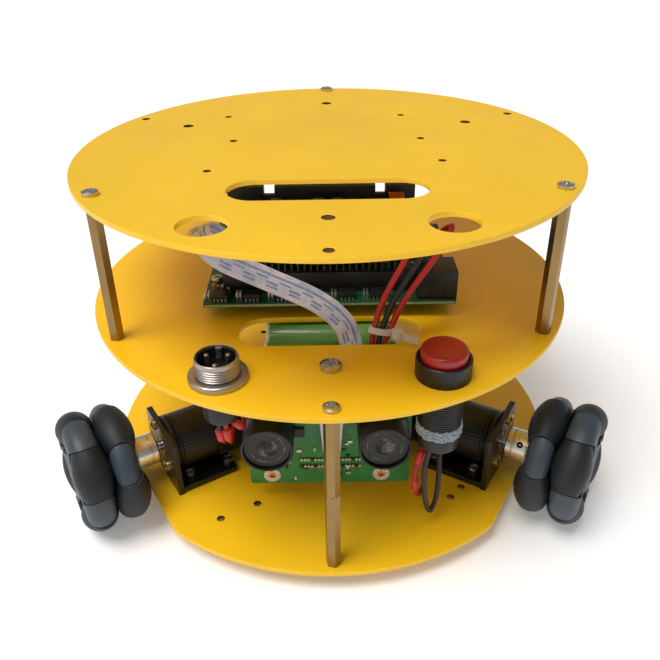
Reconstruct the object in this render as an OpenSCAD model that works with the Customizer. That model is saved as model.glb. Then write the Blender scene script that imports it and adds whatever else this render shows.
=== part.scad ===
// Three-deck robot car: three round plates on hexagonal standoffs, carried by three
// double-row omni wheels whose axles point 120 degrees apart.
// Millimetres. Z points up, the front is towards -Y, the floor is z = 0 and the
// turning axis of the car is the Z axis.

/* [Decks] */
// Radius of the round decks
deck_r = 98; // [97:0.5:100]
// Thickness of each deck plate
deck_t = 2; // [1.8:0.1:2.2]
// Air under the bottom deck
deck_clearance = 7.7; // [7:0.1:9]
// Distance of the bottom deck's three flats from the turning axis
flat_u = 92; // [91:0.5:93]
// Length of one lower standoff, of which two are stacked
lower_standoff = 35; // [34:0.5:38]
// Length of an upper standoff
upper_standoff = 55; // [53:0.5:60]
// Width across flats of a standoff
standoff_af = 5; // [4.8:0.1:5.5]

/* [Deck holes] */
// Radius of the ring of standoff holes near the edge
edge_ring_r = 93; // [92.5:0.25:94]
// Radius of the inner ring of payload holes
payload_ring_r = 69; // [68.5:0.5:69.5]
// Length of the cable slot
slot_l = 70; // [68:1:72]
// Width of the cable slot
slot_w = 20; // [18:0.5:20]
// Distance of the cable slot's centre in front of the axis
slot_y = 44; // [44:0.25:44.5]
// Sideways distance of the two panel holes
panel_x = 39; // [38.5:0.5:39.5]
// Distance of the two panel holes in front of the axis
panel_y = 74; // [73.5:0.5:74.5]
// Radius of the two panel holes
panel_hole_r = 8.25; // [8.2:0.01:8.3]

/* [Wheels] */
// Rolling radius of the omni wheels, which is also the height of the axles
wheel_r = 25; // [24.8:0.1:25.2]
// Distance of a wheel's middle from the turning axis
wheel_u = 108.4; // [108:0.1:110]
// Width of one row of rollers
row_w = 11.6; // [11.4:0.1:11.8]
// Radius of a roller at its middle
roller_r = 7.2; // [7.1:0.05:7.2]
// Length of a roller
roller_l = 20.4; // [20:0.1:20.6]
// Radius of a roller's pin
pin_r = 1; // [0.9:0.05:1]

/* [Motors] */
// Radius of the gear motors
motor_r = 12; // [11.5:0.1:12.2]
// Length of the gearbox
gearbox_l = 19; // [17:0.5:21]
// Length of the motor can
can_l = 31; // [28:0.5:32]
// Half width of a motor bracket
bracket_half_w = 16.5; // [16:0.25:17]
// Thickness of a motor bracket's two plates
bracket_t = 2.5; // [2:0.1:2.6]
// Height of a bracket's upright plate above the deck
bracket_h = 26; // [22:0.5:26.5]
// Outer face of the upright plate, from the turning axis
bracket_u = 83.5; // [83.3:0.1:83.6]

/* [Electronics] */
// Width of the controller board
board_w = 99; // [97:1:102]
// Depth of the controller board
board_d = 60; // [56:1:62]
// Height of the spacers under the controller board
spacer_h = 5.5; // [5:0.5:6]
// Gap between the controller board and the expansion board
board_gap = 15.5; // [15:0.5:17]
// Radius of one battery cell in its wrap
cell_r = 7.2; // [7.1:0.05:7.25]
// Length of one battery cell
cell_l = 50.5; // [49:0.5:51]
// Width of the distance sensor's board
sensor_w = 64; // [60:1:66]
// Radius of the sensor's two round transducers
transducer_r = 9.9; // [9.5:0.1:10]
// Travel of the push button
button_travel = 2; // [1:0.1:2.2]

/* [Hidden] */

// Side by side: which wheel, the heading of its axle and the sense in which its
// bracket and its rollers are set.
SIDES = ["left", "right", "rear"];
HEADINGS = [-150, -30, 90];
SENSES = [1, -1, 1];
SET_SCREW_ANGLES = [215, 140, 90];
ROLLERS_PER_ROW = 4;
ROLLERS = 2 * ROLLERS_PER_ROW;

eps = 0.01;
cut = 1;
steel = "silver";
brass = [0.72, 0.6, 0.36];
deck_yellow = [0.98, 0.8, 0.2];
board_green = [0.1, 0.42, 0.25];

// Heights
bottom_z = deck_clearance;
floor_top = bottom_z + deck_t;
middle_z = floor_top + 2 * lower_standoff;
middle_top = middle_z + deck_t;
top_z = middle_top + upper_standoff;
top_top = top_z + deck_t;
axle_z = wheel_r;

// Headings of the standoffs
LOWER_HEADINGS = [-90, 30, 150];
UPPER_HEADINGS = [-150, -30, 90];

// Screws: thread radius, pan head radius and height
m3 = 1.5;
m3_head_r = 2.9;
m3_head_h = 2;
m3_hole = 1.6;
m3_bore = 1.52;
m3_nut_r = 3.1;
m3_nut_h = 2.4;
m4 = 2;
m4_hole = 2.05;
open_m3_hole = 1.8;
open_m4_hole = 2.25;
m4_head_r = 3.9;
m4_head_h = 2.6;
m4_nut_r = 4;
m4_nut_h = 3.2;
thread_depth = 8;

// Holes of the top deck for add-on boards
ACCESSORY_HOLES = [[-44, 48], [33, 47], [-38, 12], [38, 12], [-44, -24], [43, -16]];
accessory_hole_r = 1.5;
// Holes of the bottom deck beside each motor, as [outwards, sideways]
MOTOR_SIDE_HOLES = [[57.5, 37.7], [73.8, 37.7], [73.7, -19.3], [72, -27]];
// Screws of a motor bracket's foot, as distances from the turning axis
FOOT_SCREW_U = [58.2, 75.5];
foot_screw_v = 9.3;
face_screw = 6.5;
face_screw_head_r = 2.4;
face_screw_head_h = 1.8;

// Boards
board_front = -34.5;
board_t = 1.6;
board_z = middle_top + spacer_h;
board_top = board_z + board_t;
expansion_z = board_top + board_gap;
expansion_top = expansion_z + board_t;
board_hole_x = board_w / 2 - 4;
BOARD_HOLE_Y = [board_front + 20, board_front + board_d - 4];

// Sensor
sensor_y = -59.8;
sensor_x = -1;
sensor_z0 = 19.2;
sensor_z1 = 61;
TRANSDUCER_X = [-24.2, 19.8];
transducer_z = 47.7;
transducer_l = 14;
hanger_w = 13;
hanger_t = 1.6;
hanger_y = sensor_y - 1.8;
hanger_z0 = 34.6;

// Wheel
row_x = 6.5;
row_gap = 1;
roller_ring_r = wheel_r - roller_r;
frame_r = wheel_r - 0.7;
frame_edge_r = 5.2;
pocket_half = roller_l / 2 + 0.3;
pocket_r = roller_ring_r - roller_r - 0.4;
pocket_end_r = pocket_r + 1.2;
pocket_deep_half = 7.5;
frame_half_w = row_w + row_gap;
inner_row_less = 2;
pin_half = 13.3;
hub_r = 6.7;
spigot_r = 4;
hub_x0 = 86.2 - wheel_u;
set_screw_x = hub_x0 + 6;
shaft_r = 2;
frame_recess = 4.2;

// ---------------------------------------------------------------- placing

module at_side(s) {
    rotate([0, 0, HEADINGS[s]])
        children();
}

// Wheel frame of reference: X is the axle, pointing outwards, Y is sideways
module at_wheel(s) {
    at_side(s)
        translate([wheel_u, 0, axle_z])
            children();
}

module on_ring(r, headings) {
    for (a = headings)
        rotate([0, 0, a])
            translate([r, 0, 0])
                children();
}

// A cylinder along X from x0 to x1
module rod_x(r, x0, x1, n = 48) {
    translate([x0, 0, 0])
        rotate([0, 90, 0])
            cylinder(r = r, h = x1 - x0, $fn = n);
}

// A cylinder along Y from y0 to y1
module rod_y(r, y0, y1, n = 48) {
    translate([0, y1, 0])
        rotate([90, 0, 0])
            cylinder(r = r, h = y1 - y0, $fn = n);
}

// Where roller k sits: 1 to 4 are the outer row, 5 to 8 the inner row
function row_of(k) = k <= ROLLERS_PER_ROW ? 1 : -1;
function row_phase(s, row) = 45 + (10.5 - 22.5 * row) * SENSES[s];
function roller_angle(s, k) = row_phase(s, row_of(k)) + 360 / ROLLERS_PER_ROW * (k - 1);

module at_roller(s, k) {
    rotate([roller_angle(s, k), 0, 0])
        translate([row_x * row_of(k), roller_ring_r, 0])
            children();
}

// ---------------------------------------------------------------- fasteners

// Domed screw with its head's underside at z = 0 and its thread downwards
module pan_screw(r, length, head_r, head_h) {
    dome_r = 2.2 * head_r;
    translate([0, 0, -length])
        cylinder(r = r, h = length + eps, $fn = 24);
    rotate_extrude($fn = 32)
        intersection() {
            translate([0, head_h - dome_r])
                circle(r = dome_r, $fn = 96);
            square([head_r, head_h]);
        }
}

module m3_screw(length) {
    pan_screw(m3, length, m3_head_r, m3_head_h);
}

module nut(r, h, bore) {
    difference() {
        cylinder(r = r, h = h, $fn = 6);
        translate([0, 0, -cut])
            cylinder(r = bore, h = h + 2 * cut, $fn = 24);
    }
}

// ---------------------------------------------------------------- decks

module slot_hole() {
    half = (slot_l - slot_w) / 2;
    translate([-half, -slot_y - slot_w / 2, -cut])
        cube([2 * half, slot_w, deck_t + 2 * cut]);
    for (x = [-half, half])
        translate([x, -slot_y, -cut])
            cylinder(r = slot_w / 2, h = deck_t + 2 * cut, $fn = 96);
}

module deck_drill(r) {
    translate([0, 0, -cut])
        cylinder(r = r, h = deck_t + 2 * cut, $fn = 32);
}

module round_deck(edge_hole, payload_hole) {
    difference() {
        cylinder(r = deck_r, h = deck_t, $fn = 180);
        on_ring(edge_ring_r, concat(LOWER_HEADINGS, UPPER_HEADINGS))
            deck_drill(edge_hole);
        on_ring(payload_ring_r, [-90, 30, 90, 150])
            deck_drill(payload_hole);
        slot_hole();
        for (x = [-panel_x, panel_x])
            translate([x, -panel_y, 0])
                deck_drill(panel_hole_r);
        children();
    }
}

module top_deck() {
    color(deck_yellow)
        translate([0, 0, top_z])
            round_deck(open_m3_hole, open_m4_hole)
                for (p = ACCESSORY_HOLES)
                    translate([p[0], p[1], 0])
                        deck_drill(accessory_hole_r);
}

module middle_deck() {
    color(deck_yellow)
        translate([0, 0, middle_z])
            round_deck(m3_hole, m4_hole)
                for (x = [-board_hole_x, board_hole_x], y = BOARD_HOLE_Y)
                    translate([x, y, 0])
                        deck_drill(m3_hole);
}

module bottom_deck() {
    color(deck_yellow)
        translate([0, 0, bottom_z])
            difference() {
                cylinder(r = deck_r, h = deck_t, $fn = 180);
                on_ring(edge_ring_r, LOWER_HEADINGS)
                    deck_drill(m3_hole);
                for (s = [0:2])
                    at_side(s) {
                        translate([flat_u, -deck_r, -cut])
                            cube([deck_r, 2 * deck_r, deck_t + 2 * cut]);
                        for (p = MOTOR_SIDE_HOLES)
                            translate([p[0], p[1], 0])
                                deck_drill(m3_hole);
                        for (u = FOOT_SCREW_U, v = [-foot_screw_v, foot_screw_v])
                            translate([u, v, 0])
                                deck_drill(m3_hole);
                    }
            }
}

// ---------------------------------------------------------------- standoffs

// Hexagonal standoff, tapped at the top and either tapped or studded below
module standoff(length, stud) {
    r = standoff_af / sqrt(3);
    difference() {
        cylinder(r = r, h = length, $fn = 6);
        translate([0, 0, length - thread_depth])
            cylinder(r = m3_bore, h = thread_depth + cut, $fn = 24);
        if (!stud)
            translate([0, 0, -cut])
                cylinder(r = m3_bore, h = thread_depth + cut, $fn = 24);
    }
    if (stud)
        translate([0, 0, -thread_depth + 2])
            cylinder(r = m3, h = thread_depth - 2 + eps, $fn = 24);
}

module lower_standoffs() {
    color(brass)
        on_ring(edge_ring_r, LOWER_HEADINGS)
            for (i = [0, 1])
                translate([0, 0, floor_top + i * lower_standoff])
                    rotate([0, 0, 12 + 6 * i])
                        standoff(lower_standoff, i == 1);
}

module upper_standoffs() {
    color(brass)
        on_ring(edge_ring_r, UPPER_HEADINGS)
            translate([0, 0, middle_top])
                rotate([0, 0, 20])
                    standoff(upper_standoff, false);
}

// Every screw and nut that stays with the decks, the brackets, the boards and the sensor
module deck_and_bracket_screws() {
    color(steel) {
        on_ring(edge_ring_r, UPPER_HEADINGS) {
            translate([0, 0, top_top])
                m3_screw(8);
            translate([0, 0, middle_z])
                mirror([0, 0, 1])
                    m3_screw(8);
        }
        on_ring(edge_ring_r, LOWER_HEADINGS) {
            translate([0, 0, middle_top])
                m3_screw(8);
            translate([0, 0, bottom_z])
                mirror([0, 0, 1])
                    m3_screw(8);
        }
        for (s = [0:2])
            at_side(s)
                bracket_screws(SENSES[s]);
        for (x = [-board_hole_x, board_hole_x], y = BOARD_HOLE_Y)
            translate([x, y, 0]) {
                translate([0, 0, board_top])
                    m3_screw(board_top - middle_z + m3_nut_h);
                translate([0, 0, middle_z - m3_nut_h])
                    nut(m3_nut_r, m3_nut_h, m3_bore);
            }
        translate([0, -payload_ring_r, 0]) {
            translate([0, 0, middle_top])
                pan_screw(m4, deck_t + hanger_t + m4_nut_h, m4_head_r, m4_head_h);
            translate([0, 0, middle_z - hanger_t - m4_nut_h])
                nut(m4_nut_r, m4_nut_h, m4 + m3_bore - m3);
        }
    }
}

module bracket_screws(sense) {
    for (u = FOOT_SCREW_U, v = [-foot_screw_v, foot_screw_v])
        translate([u, v, 0]) {
            translate([0, 0, floor_top + bracket_t])
                pan_screw(m3, bracket_t + deck_t + m3_nut_h, face_screw_head_r,
                    face_screw_head_h);
            translate([0, 0, bottom_z - m3_nut_h])
                nut(m3_nut_r, m3_nut_h, m3_bore);
        }
    for (e = [-1, 1])
        translate([bracket_u, e * sense * face_screw, axle_z - e * face_screw])
            rotate([0, 90, 0])
                pan_screw(m3, bracket_t + 4, face_screw_head_r, face_screw_head_h);
}

// ---------------------------------------------------------------- motors

// L-shaped bracket: a foot on the deck and an upright plate in front of the motor
module motor_bracket(sense) {
    foot_l = bracket_u - 55;
    corner = 1.5;
    color([0.06, 0.06, 0.07])
        difference() {
            union() {
                translate([55, -bracket_half_w, floor_top])
                    cube([foot_l, 2 * bracket_half_w, bracket_t]);
                translate([bracket_u - bracket_t, -bracket_half_w, floor_top])
                    cube([bracket_t, 2 * bracket_half_w, bracket_h - corner]);
                translate([bracket_u - bracket_t, -bracket_half_w + corner, floor_top])
                    cube([bracket_t, 2 * (bracket_half_w - corner), bracket_h]);
                for (v = [-1, 1])
                    translate([0, v * (bracket_half_w - corner), floor_top + bracket_h - corner])
                        rod_x(corner, bracket_u - bracket_t, bracket_u, 32);
            }
            translate([0, 0, axle_z])
                rod_x(3.6, bracket_u - bracket_t - cut, bracket_u + cut);
            for (e = [-1, 1])
                translate([0, e * sense * face_screw, axle_z - e * face_screw])
                    rod_x(m3_hole, bracket_u - bracket_t - cut, bracket_u + cut, 32);
            for (u = FOOT_SCREW_U, v = [-foot_screw_v, foot_screw_v])
                translate([u, v, floor_top - cut])
                    cylinder(r = m3_hole, h = bracket_t + 2 * cut, $fn = 32);
        }
}

// Gearbox and motor in line, with the shaft's bearing bore at the outer end
module gear_motor(sense) {
    front = bracket_u - bracket_t;
    joint = front - gearbox_l;
    back = joint - can_l;
    color([0.16, 0.16, 0.17])
        translate([0, 0, axle_z])
            difference() {
                union() {
                    rod_x(motor_r, joint + 0.8, front, 96);
                    rod_x(motor_r - 0.6, joint - eps, joint + 0.8 + eps, 96);
                    rod_x(motor_r - 0.1, back, joint, 96);
                    rod_x(3.5, front - eps, bracket_u - 0.2);
                    rod_x(4, back - 2, back + eps);
                    for (v = [-1, 1])
                        translate([back - 4, v * 7 - 1.2, -0.3])
                            cube([4 + eps, 2.4, 0.6]);
                }
                rod_x(shaft_r + 0.05, front - 9.5, front + gearbox_l);
                for (e = [-1, 1])
                    translate([0, e * sense * face_screw, -e * face_screw])
                        rod_x(m3_bore, front - 4.5, front + cut, 24);
            }
}

// ---------------------------------------------------------------- wheels

module motor_shaft() {
    color(steel)
        difference() {
            rod_x(shaft_r, bracket_u - bracket_t - 9 - wheel_u, -12);
            translate([-wheel_u + bracket_u + 1.2, -shaft_r, shaft_r - 0.5])
                cube([wheel_u, 2 * shaft_r, shaft_r]);
        }
}

// Coupler between the motor shaft and the wheel, with a spigot through the wheel
module drive_hub(s) {
    color([0.8, 0.76, 0.68])
        difference() {
            union() {
                rod_x(hub_r, hub_x0, -frame_half_w, 64);
                rod_x(spigot_r, -frame_half_w - eps, frame_half_w - frame_recess);
            }
            rod_x(shaft_r + 0.02, hub_x0 - cut, -11.5);
            rod_x(m3_bore, 1, frame_half_w, 24);
            rotate([SET_SCREW_ANGLES[s], 0, 0])
                translate([set_screw_x, 0, 0])
                    rotate([-90, 0, 0])
                        cylinder(r = m3_bore, h = hub_r + cut, $fn = 24);
        }
}

// Cross-section of one row of the wheel frame: radius across, axle upwards
module row_profile(w) {
    edge = min(frame_edge_r, w / 2 - 0.3);
    translate([0, row_gap])
        square([frame_r - edge, w]);
    translate([0, row_gap + edge])
        square([frame_r, w - 2 * edge]);
    for (y = [edge, w - edge])
        translate([frame_r - edge, row_gap + y])
            circle(r = edge, $fn = 64);
}

// One row of the frame with a pocket for each roller, deeper where the roller is thicker
module frame_row(s, row) {
    first = row == 1 ? 1 : ROLLERS_PER_ROW + 1;
    difference() {
        rotate([0, 90 * row, 0])
            rotate_extrude($fn = 96)
                row_profile(row == 1 ? row_w : row_w - inner_row_less);
        for (k = [first:first + ROLLERS_PER_ROW - 1])
            rotate([roller_angle(s, k), 0, 0]) {
                translate([row == 1 ? 0 : -frame_half_w - cut, 0, 0]) {
                    translate([0, pocket_r, -pocket_deep_half])
                        cube([frame_half_w + cut, wheel_r, 2 * pocket_deep_half]);
                    translate([0, pocket_end_r, -pocket_half])
                        cube([frame_half_w + cut, wheel_r, 2 * pocket_half]);
                }
                translate([row_x * row, roller_ring_r, -pin_half])
                    cylinder(r = pin_r + 0.02, h = 2 * pin_half, $fn = 24);
            }
    }
}

module wheel_frame(s) {
    color([0.45, 0.46, 0.47])
        difference() {
            union() {
                frame_row(s, 1);
                frame_row(s, -1);
                rod_x(pocket_r - 0.2, -frame_half_w, 2, 64);
            }
            rod_x(spigot_r + 0.03, -frame_half_w - cut, frame_half_w + cut);
            rod_x(7, frame_half_w - frame_recess, frame_half_w + cut);
            difference() {
                rod_x(9.7, frame_half_w - 0.8, frame_half_w + cut, 64);
                rod_x(8.2, frame_half_w - 1, frame_half_w + 2 * cut, 64);
            }
        }
}

// The wheel's eight roller pins, its end screw with washer and the hub's set screw
module wheel_fasteners(s) {
    color(steel) {
        for (k = [1:ROLLERS])
            at_roller(s, k)
                translate([0, 0, 0.05 - pin_half])
                    cylinder(r = pin_r, h = 2 * pin_half - 0.1, $fn = 24);
        difference() {
            rod_x(5.8, frame_half_w - frame_recess, frame_half_w - frame_recess + 0.6);
            rod_x(m3_bore, 0, frame_half_w, 24);
        }
        translate([frame_half_w - frame_recess + 0.6, 0, 0])
            rotate([0, 90, 0])
                m3_screw(7);
        rotate([SET_SCREW_ANGLES[s], 0, 0])
            translate([set_screw_x, shaft_r + 0.1, 0])
                rotate([-90, 0, 0])
                    difference() {
                        cylinder(r = m3, h = 3.2, $fn = 24);
                        translate([0, 0, 2])
                            cylinder(r = 0.87, h = 2, $fn = 6);
                    }
    }
}

// Barrel roller: its outline is an arc of the wheel's own rolling circle
module roller(s, k) {
    color([0.13, 0.14, 0.15])
        at_roller(s, k)
            rotate_extrude($fn = 64)
                intersection() {
                    translate([-roller_ring_r, 0])
                        circle(r = wheel_r, $fn = 180);
                    translate([pin_r + 0.06, -roller_l / 2])
                        square([roller_r, roller_l]);
                }
}

// ---------------------------------------------------------------- electronics

module board_spacers() {
    color("white")
        for (x = [-board_hole_x, board_hole_x], y = BOARD_HOLE_Y)
            translate([x, y, middle_top])
                difference() {
                    cylinder(r = 3, h = spacer_h, $fn = 32);
                    translate([0, 0, -cut])
                        cylinder(r = m3_hole, h = spacer_h + 2 * cut, $fn = 24);
                }
}

// Plate with a drilled hole at each of its mounting points
module drilled_board(w, y0, d, z, holes) {
    difference() {
        translate([-w / 2, y0, z])
            cube([w, d, board_t]);
        for (p = holes)
            translate([p[0], p[1], z - cut])
                cylinder(r = m3_hole, h = board_t + 2 * cut, $fn = 24);
    }
}

module block(x, y, z, w, d, h) {
    translate([x - w / 2, y, z])
        cube([w, d, h]);
}

// Lower board: output connectors along the front edge, and two long header sockets
module controller_board() {
    pitch = 12.4;
    count = 6;
    color(board_green)
        drilled_board(board_w, board_front, board_d, board_z,
            [for (x = [-board_hole_x, board_hole_x], y = BOARD_HOLE_Y) [x, y]]);
    color([0.08, 0.08, 0.08]) {
        for (i = [0:count - 1])
            block(-board_w / 2 + pitch * (i + 0.5), board_front + 2, board_top, 7.6, 5, 2.8);
        for (y = [board_front + 9, board_front + 44])
            block(-4, y, board_top, 76, 2.6, 8.5);
        block(-board_w / 2 + 16, board_front + 16, board_top, 13, 14, 2.4);
        block(12, board_front + 18, board_top, 22, 12, 3.6);
        block(board_w / 2 - 7.7, board_front + 1.5, board_top, 15.4, 14, 11.5);
    }
}

// Upper board, plugged in above, with pin rows below and header sockets above
module expansion_board() {
    color(board_green)
        block(-3, board_front + 6, expansion_z, 86, 56, board_t);
    color([0.08, 0.08, 0.08]) {
        for (y = [board_front + 9, board_front + 44])
            block(-4, y, board_top + 8.5, 76, 2.6, board_gap - 8.5);
        for (e = [[-36, 16], [-1.3, 44], [31.5, 13]])
            block(e[0], board_front + 56, expansion_top, e[1], 5, 9.5);
        block(-34, board_front + 7, expansion_top, 16, 6, 8);
        block(30, board_front + 7, expansion_top, 20, 8, 9);
    }
}

// Ten round cells side by side in two layers, shrink wrapped, with a foam pad on top
module battery_pack() {
    rows = 5;
    y0 = -47.4;
    z0 = middle_z - 1.2 - 3 * cell_r;
    color([0.3, 0.75, 0.45]) {
        for (i = [0:rows - 1], j = [0, 1])
            translate([0, y0 + 2 * cell_r * i, z0 + 2 * cell_r * j])
                rod_x(cell_r, -cell_l / 2, cell_l / 2, 64);
        translate([-cell_l / 2, y0, z0])
            cube([cell_l, 2 * cell_r * (rows - 1), 2 * cell_r]);
        for (y = [y0 - cell_r + 0.4, y0 + 2 * cell_r * (rows - 1)])
            translate([-cell_l / 2, y, z0])
                cube([cell_l, cell_r - 0.4, 2 * cell_r]);
        for (z = [z0 - cell_r + 0.4, z0 + 2 * cell_r])
            translate([-cell_l / 2, y0, z])
                cube([cell_l, 2 * cell_r * (rows - 1), cell_r - 0.4]);
    }
    color([0.3, 0.3, 0.3])
        translate([-20, 0, z0 + 3 * cell_r - 0.5])
            cube([40, 10, 1.7]);
}

// Round panel socket: flange and threaded shell above the deck, nut and body below
module charge_socket() {
    shell_r = 7.9;
    shell_top = middle_top + 9.2;
    translate([-panel_x, -panel_y, 0]) {
        color(steel) {
            difference() {
                union() {
                    translate([0, 0, middle_top])
                        cylinder(r = 10, h = 1.8, $fn = 64);
                    translate([0, 0, middle_z - 6])
                        cylinder(r = shell_r, h = shell_top - middle_z + 6, $fn = 64);
                }
                translate([0, 0, shell_top - 9])
                    cylinder(r = 7, h = 9 + cut, $fn = 64);
            }
            translate([0, 0, middle_z - 2.6])
                nut(11, 2.6, shell_r);
            for (a = [30, 150, 270])
                rotate([0, 0, a])
                    translate([4.3, 0, shell_top - 5])
                        cylinder(r = 1, h = 4.4, $fn = 24);
        }
        color([0.08, 0.08, 0.08]) {
            translate([0, 0, shell_top - 9])
                cylinder(r = 7, h = 4, $fn = 64);
            translate([0, 0, middle_z - 14])
                cylinder(r = 6, h = 8, $fn = 48);
        }
    }
}

// Push button housing: collar above the deck, barrel, nut and terminals below
module power_button_housing() {
    color([0.1, 0.1, 0.1])
        translate([panel_x, -panel_y, 0]) {
            difference() {
                union() {
                    translate([0, 0, middle_top])
                        cylinder(r = 9.9, h = 7.5, $fn = 64);
                    translate([0, 0, middle_z - 20])
                        cylinder(r = 7.9, h = 20 + deck_t + eps, $fn = 64);
                    translate([0, 0, middle_z - 28])
                        cylinder(r = 7, h = 8 + eps, $fn = 48);
                }
                translate([0, 0, middle_top + 2])
                    cylinder(r = 8.55, h = 6, $fn = 64);
                translate([0, 0, middle_z - 6])
                    cylinder(r = 3.06, h = 12, $fn = 32);
            }
            translate([0, 0, middle_z - 2.6])
                difference() {
                    cylinder(r = 10.4, h = 2.6, $fn = 6);
                    translate([0, 0, -cut])
                        cylinder(r = 7.9, h = 2.6 + 2 * cut, $fn = 64);
                }
        }
}

module power_button_cap() {
    cap_r = 8.3;
    dome = 1.4;
    h = 6.7;
    color([0.72, 0.1, 0.08])
        translate([panel_x, -panel_y, middle_top + 4.5]) {
            rotate_extrude($fn = 64)
                difference() {
                    union() {
                        square([cap_r, h - dome]);
                        square([cap_r - dome, h]);
                        translate([cap_r - dome, h - dome])
                            circle(r = dome, $fn = 48);
                    }
                    translate([-cap_r, -cut])
                        square([cap_r, h + 2 * cut]);
                }
            translate([0, 0, -8])
                cylinder(r = 3, h = 8 + eps, $fn = 32);
        }
}

// ---------------------------------------------------------------- sensor

module sensor_board() {
    color(board_green)
        difference() {
            translate([sensor_x - sensor_w / 2, sensor_y, sensor_z0])
                cube([sensor_w, board_t, sensor_z1 - sensor_z0]);
            for (x = TRANSDUCER_X)
                translate([x, 0, sensor_z0 + 4])
                    rod_y(1.5, sensor_y - cut, sensor_y + board_t + cut, 24);
        }
    color([0.85, 0.85, 0.83])
        translate([2, sensor_y + board_t, 36])
            cube([12, 4, 6]);
}

module sensor_transducers() {
    color([0.12, 0.12, 0.13])
        for (x = TRANSDUCER_X)
            translate([x, 0, transducer_z])
                difference() {
                    rod_y(transducer_r, sensor_y - transducer_l, sensor_y, 64);
                    rod_y(transducer_r - 1.1, sensor_y - transducer_l - cut,
                        sensor_y - transducer_l + 2.5, 64);
                }
}

// L-shaped aluminium strip that hangs the sensor from the middle deck
module sensor_hanger() {
    tab_y0 = -payload_ring_r - 5.5;
    color([0.75, 0.75, 0.77])
        difference() {
            union() {
                translate([-hanger_w / 2, tab_y0, middle_z - hanger_t])
                    cube([hanger_w, hanger_y - tab_y0, hanger_t]);
                translate([-hanger_w / 2, hanger_y - hanger_t, hanger_z0 + 4])
                    cube([hanger_w, hanger_t, middle_z - hanger_z0 - 4]);
                translate([-hanger_w / 2 + 4, hanger_y - hanger_t, hanger_z0])
                    cube([hanger_w - 8, hanger_t, 8]);
                for (x = [-1, 1])
                    translate([x * (hanger_w / 2 - 4), 0, hanger_z0 + 4])
                        rod_y(4, hanger_y - hanger_t, hanger_y, 32);
                for (z = [hanger_z0 + 6, 58])
                    translate([0, 0, z])
                        rod_y(2.5, hanger_y - eps, sensor_y, 32);
            }
            translate([0, -payload_ring_r, middle_z - hanger_t - cut])
                cylinder(r = m4_hole, h = hanger_t + 2 * cut, $fn = 32);
        }
}

// ---------------------------------------------------------------- cables

// Catmull-Rom curve through the points of a route
function spline_point(a, b, c, d, t) =
    0.5 * (2 * b + (c - a) * t + (2 * a - 5 * b + 4 * c - d) * t * t
        + (3 * b - a - 3 * c + d) * t * t * t);
function smooth_route(p, steps) = [
    for (i = [0:len(p) - 2], j = [0:steps - 1])
        spline_point(p[max(i - 1, 0)], p[i], p[i + 1], p[min(i + 2, len(p) - 1)], j / steps),
    p[len(p) - 1]
];
function unit(v) = v / norm(v);
function tangent(p, i) = unit(p[min(i + 1, len(p) - 1)] - p[max(i - 1, 0)]);
function across(v, t) = unit(v - (v * t) * t);
// Normals carried along the route without twisting
function normals(p, n, i = 0) =
    i == len(p) ? [] : let (m = across(n, tangent(p, i))) concat([m], normals(p, m, i + 1));

// Sweep a closed outline along a route; the outline's first axis starts along side
module sweep(p, outline, side) {
    n = normals(p, side);
    k = len(outline);
    rings = [for (i = [0:len(p) - 1], q = outline)
        p[i] + q[0] * n[i] + q[1] * cross(tangent(p, i), n[i])];
    last = (len(p) - 1) * k;
    polyhedron(
        points = rings,
        faces = concat(
            [for (i = [1:k - 2]) [0, i, i + 1]],
            [for (i = [1:k - 2]) [last, last + i + 1, last + i]],
            [for (i = [0:len(p) - 2], j = [0:k - 1]) each
                let (a = i * k + j, b = i * k + (j + 1) % k)
                    [[a, a + k, b], [b, a + k, b + k]]]));
}

function ring_outline(r) = [for (a = [0:45:315]) r * [cos(a), sin(a)]];
function strip_outline(w, t) = [[-w, -t], [w, -t], [w, t], [-w, t]] / 2;

// From the expansion board in a loop up and over the battery, through the slot to the
// sensor board
RIBBON_ROUTE = [
    [-38, -28.4, 111], [-42, -31, 118], [-46, -37, 122.5], [-45, -44, 120.5],
    [-38, -47.5, 114.5], [-22, -47.5, 106], [-5, -48.5, 97.5], [4.5, -50.2, 89.5],
    [7.5, -51.6, 82], [8, -54.9, 76], [8, -56.3, 68], [8, -56.3, 56], [8, -56.3, 42.1]
];

module ribbon_cable() {
    color([0.8, 0.82, 0.9])
        sweep(smooth_route(RIBBON_ROUTE, 3), strip_outline(8.4, 1.1), [0.87, -0.29, 0.39]);
}

// Leads from the expansion board down the right of the slot to the battery. The outer
// two spread away from the middle one towards the top.
LEAD_ROUTE = [
    [33, -28.6, 110], [37, -33, 118], [38, -41, 122], [33, -44, 112], [27, -47, 103],
    [22.5, -49, 95], [19.5, -51, 87], [18, -52.1, 81], [18, -55, 76], [18, -56.4, 69],
    [18, -56.4, 62]
];
function beside(p, x) = p + [x * (1 + 0.035 * max(0, p[2] - 81)), 0, 0];
// Loops from the push button's terminals down towards the deck and back up
BUTTON_RED = [
    [35.5, -71.5, 51.2], [34, -72.5, 46], [31.8, -74, 39.5], [31.4, -74.5, 30],
    [33.4, -73, 24.6], [35.6, -70, 27], [36.2, -67, 36], [35.5, -62.5, 48],
    [34.5, -58.5, 58], [32, -57, 65], [28, -56.8, 67]
];
BUTTON_BLACK = [
    [36.5, -75.5, 51.2], [35.2, -76.2, 46], [34.2, -77.5, 40], [34.8, -78, 31],
    [36, -77.3, 23], [38, -75.5, 18.5], [40.3, -73, 23], [41, -71, 33], [41, -67, 45],
    [38.5, -61, 55], [36, -57, 65], [32, -54.5, 71]
];
// From the charge socket's terminals back beside the sensor board
SOCKET_ROUTE = [
    [-38.6, -74, 65.2], [-38.2, -74, 60], [-37.8, -73.5, 54.5], [-37.4, -70, 50.5],
    [-37, -64, 52], [-36, -59, 59], [-33.5, -56.8, 66], [-29, -56.4, 69]
];
lead_r = 1;

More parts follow.
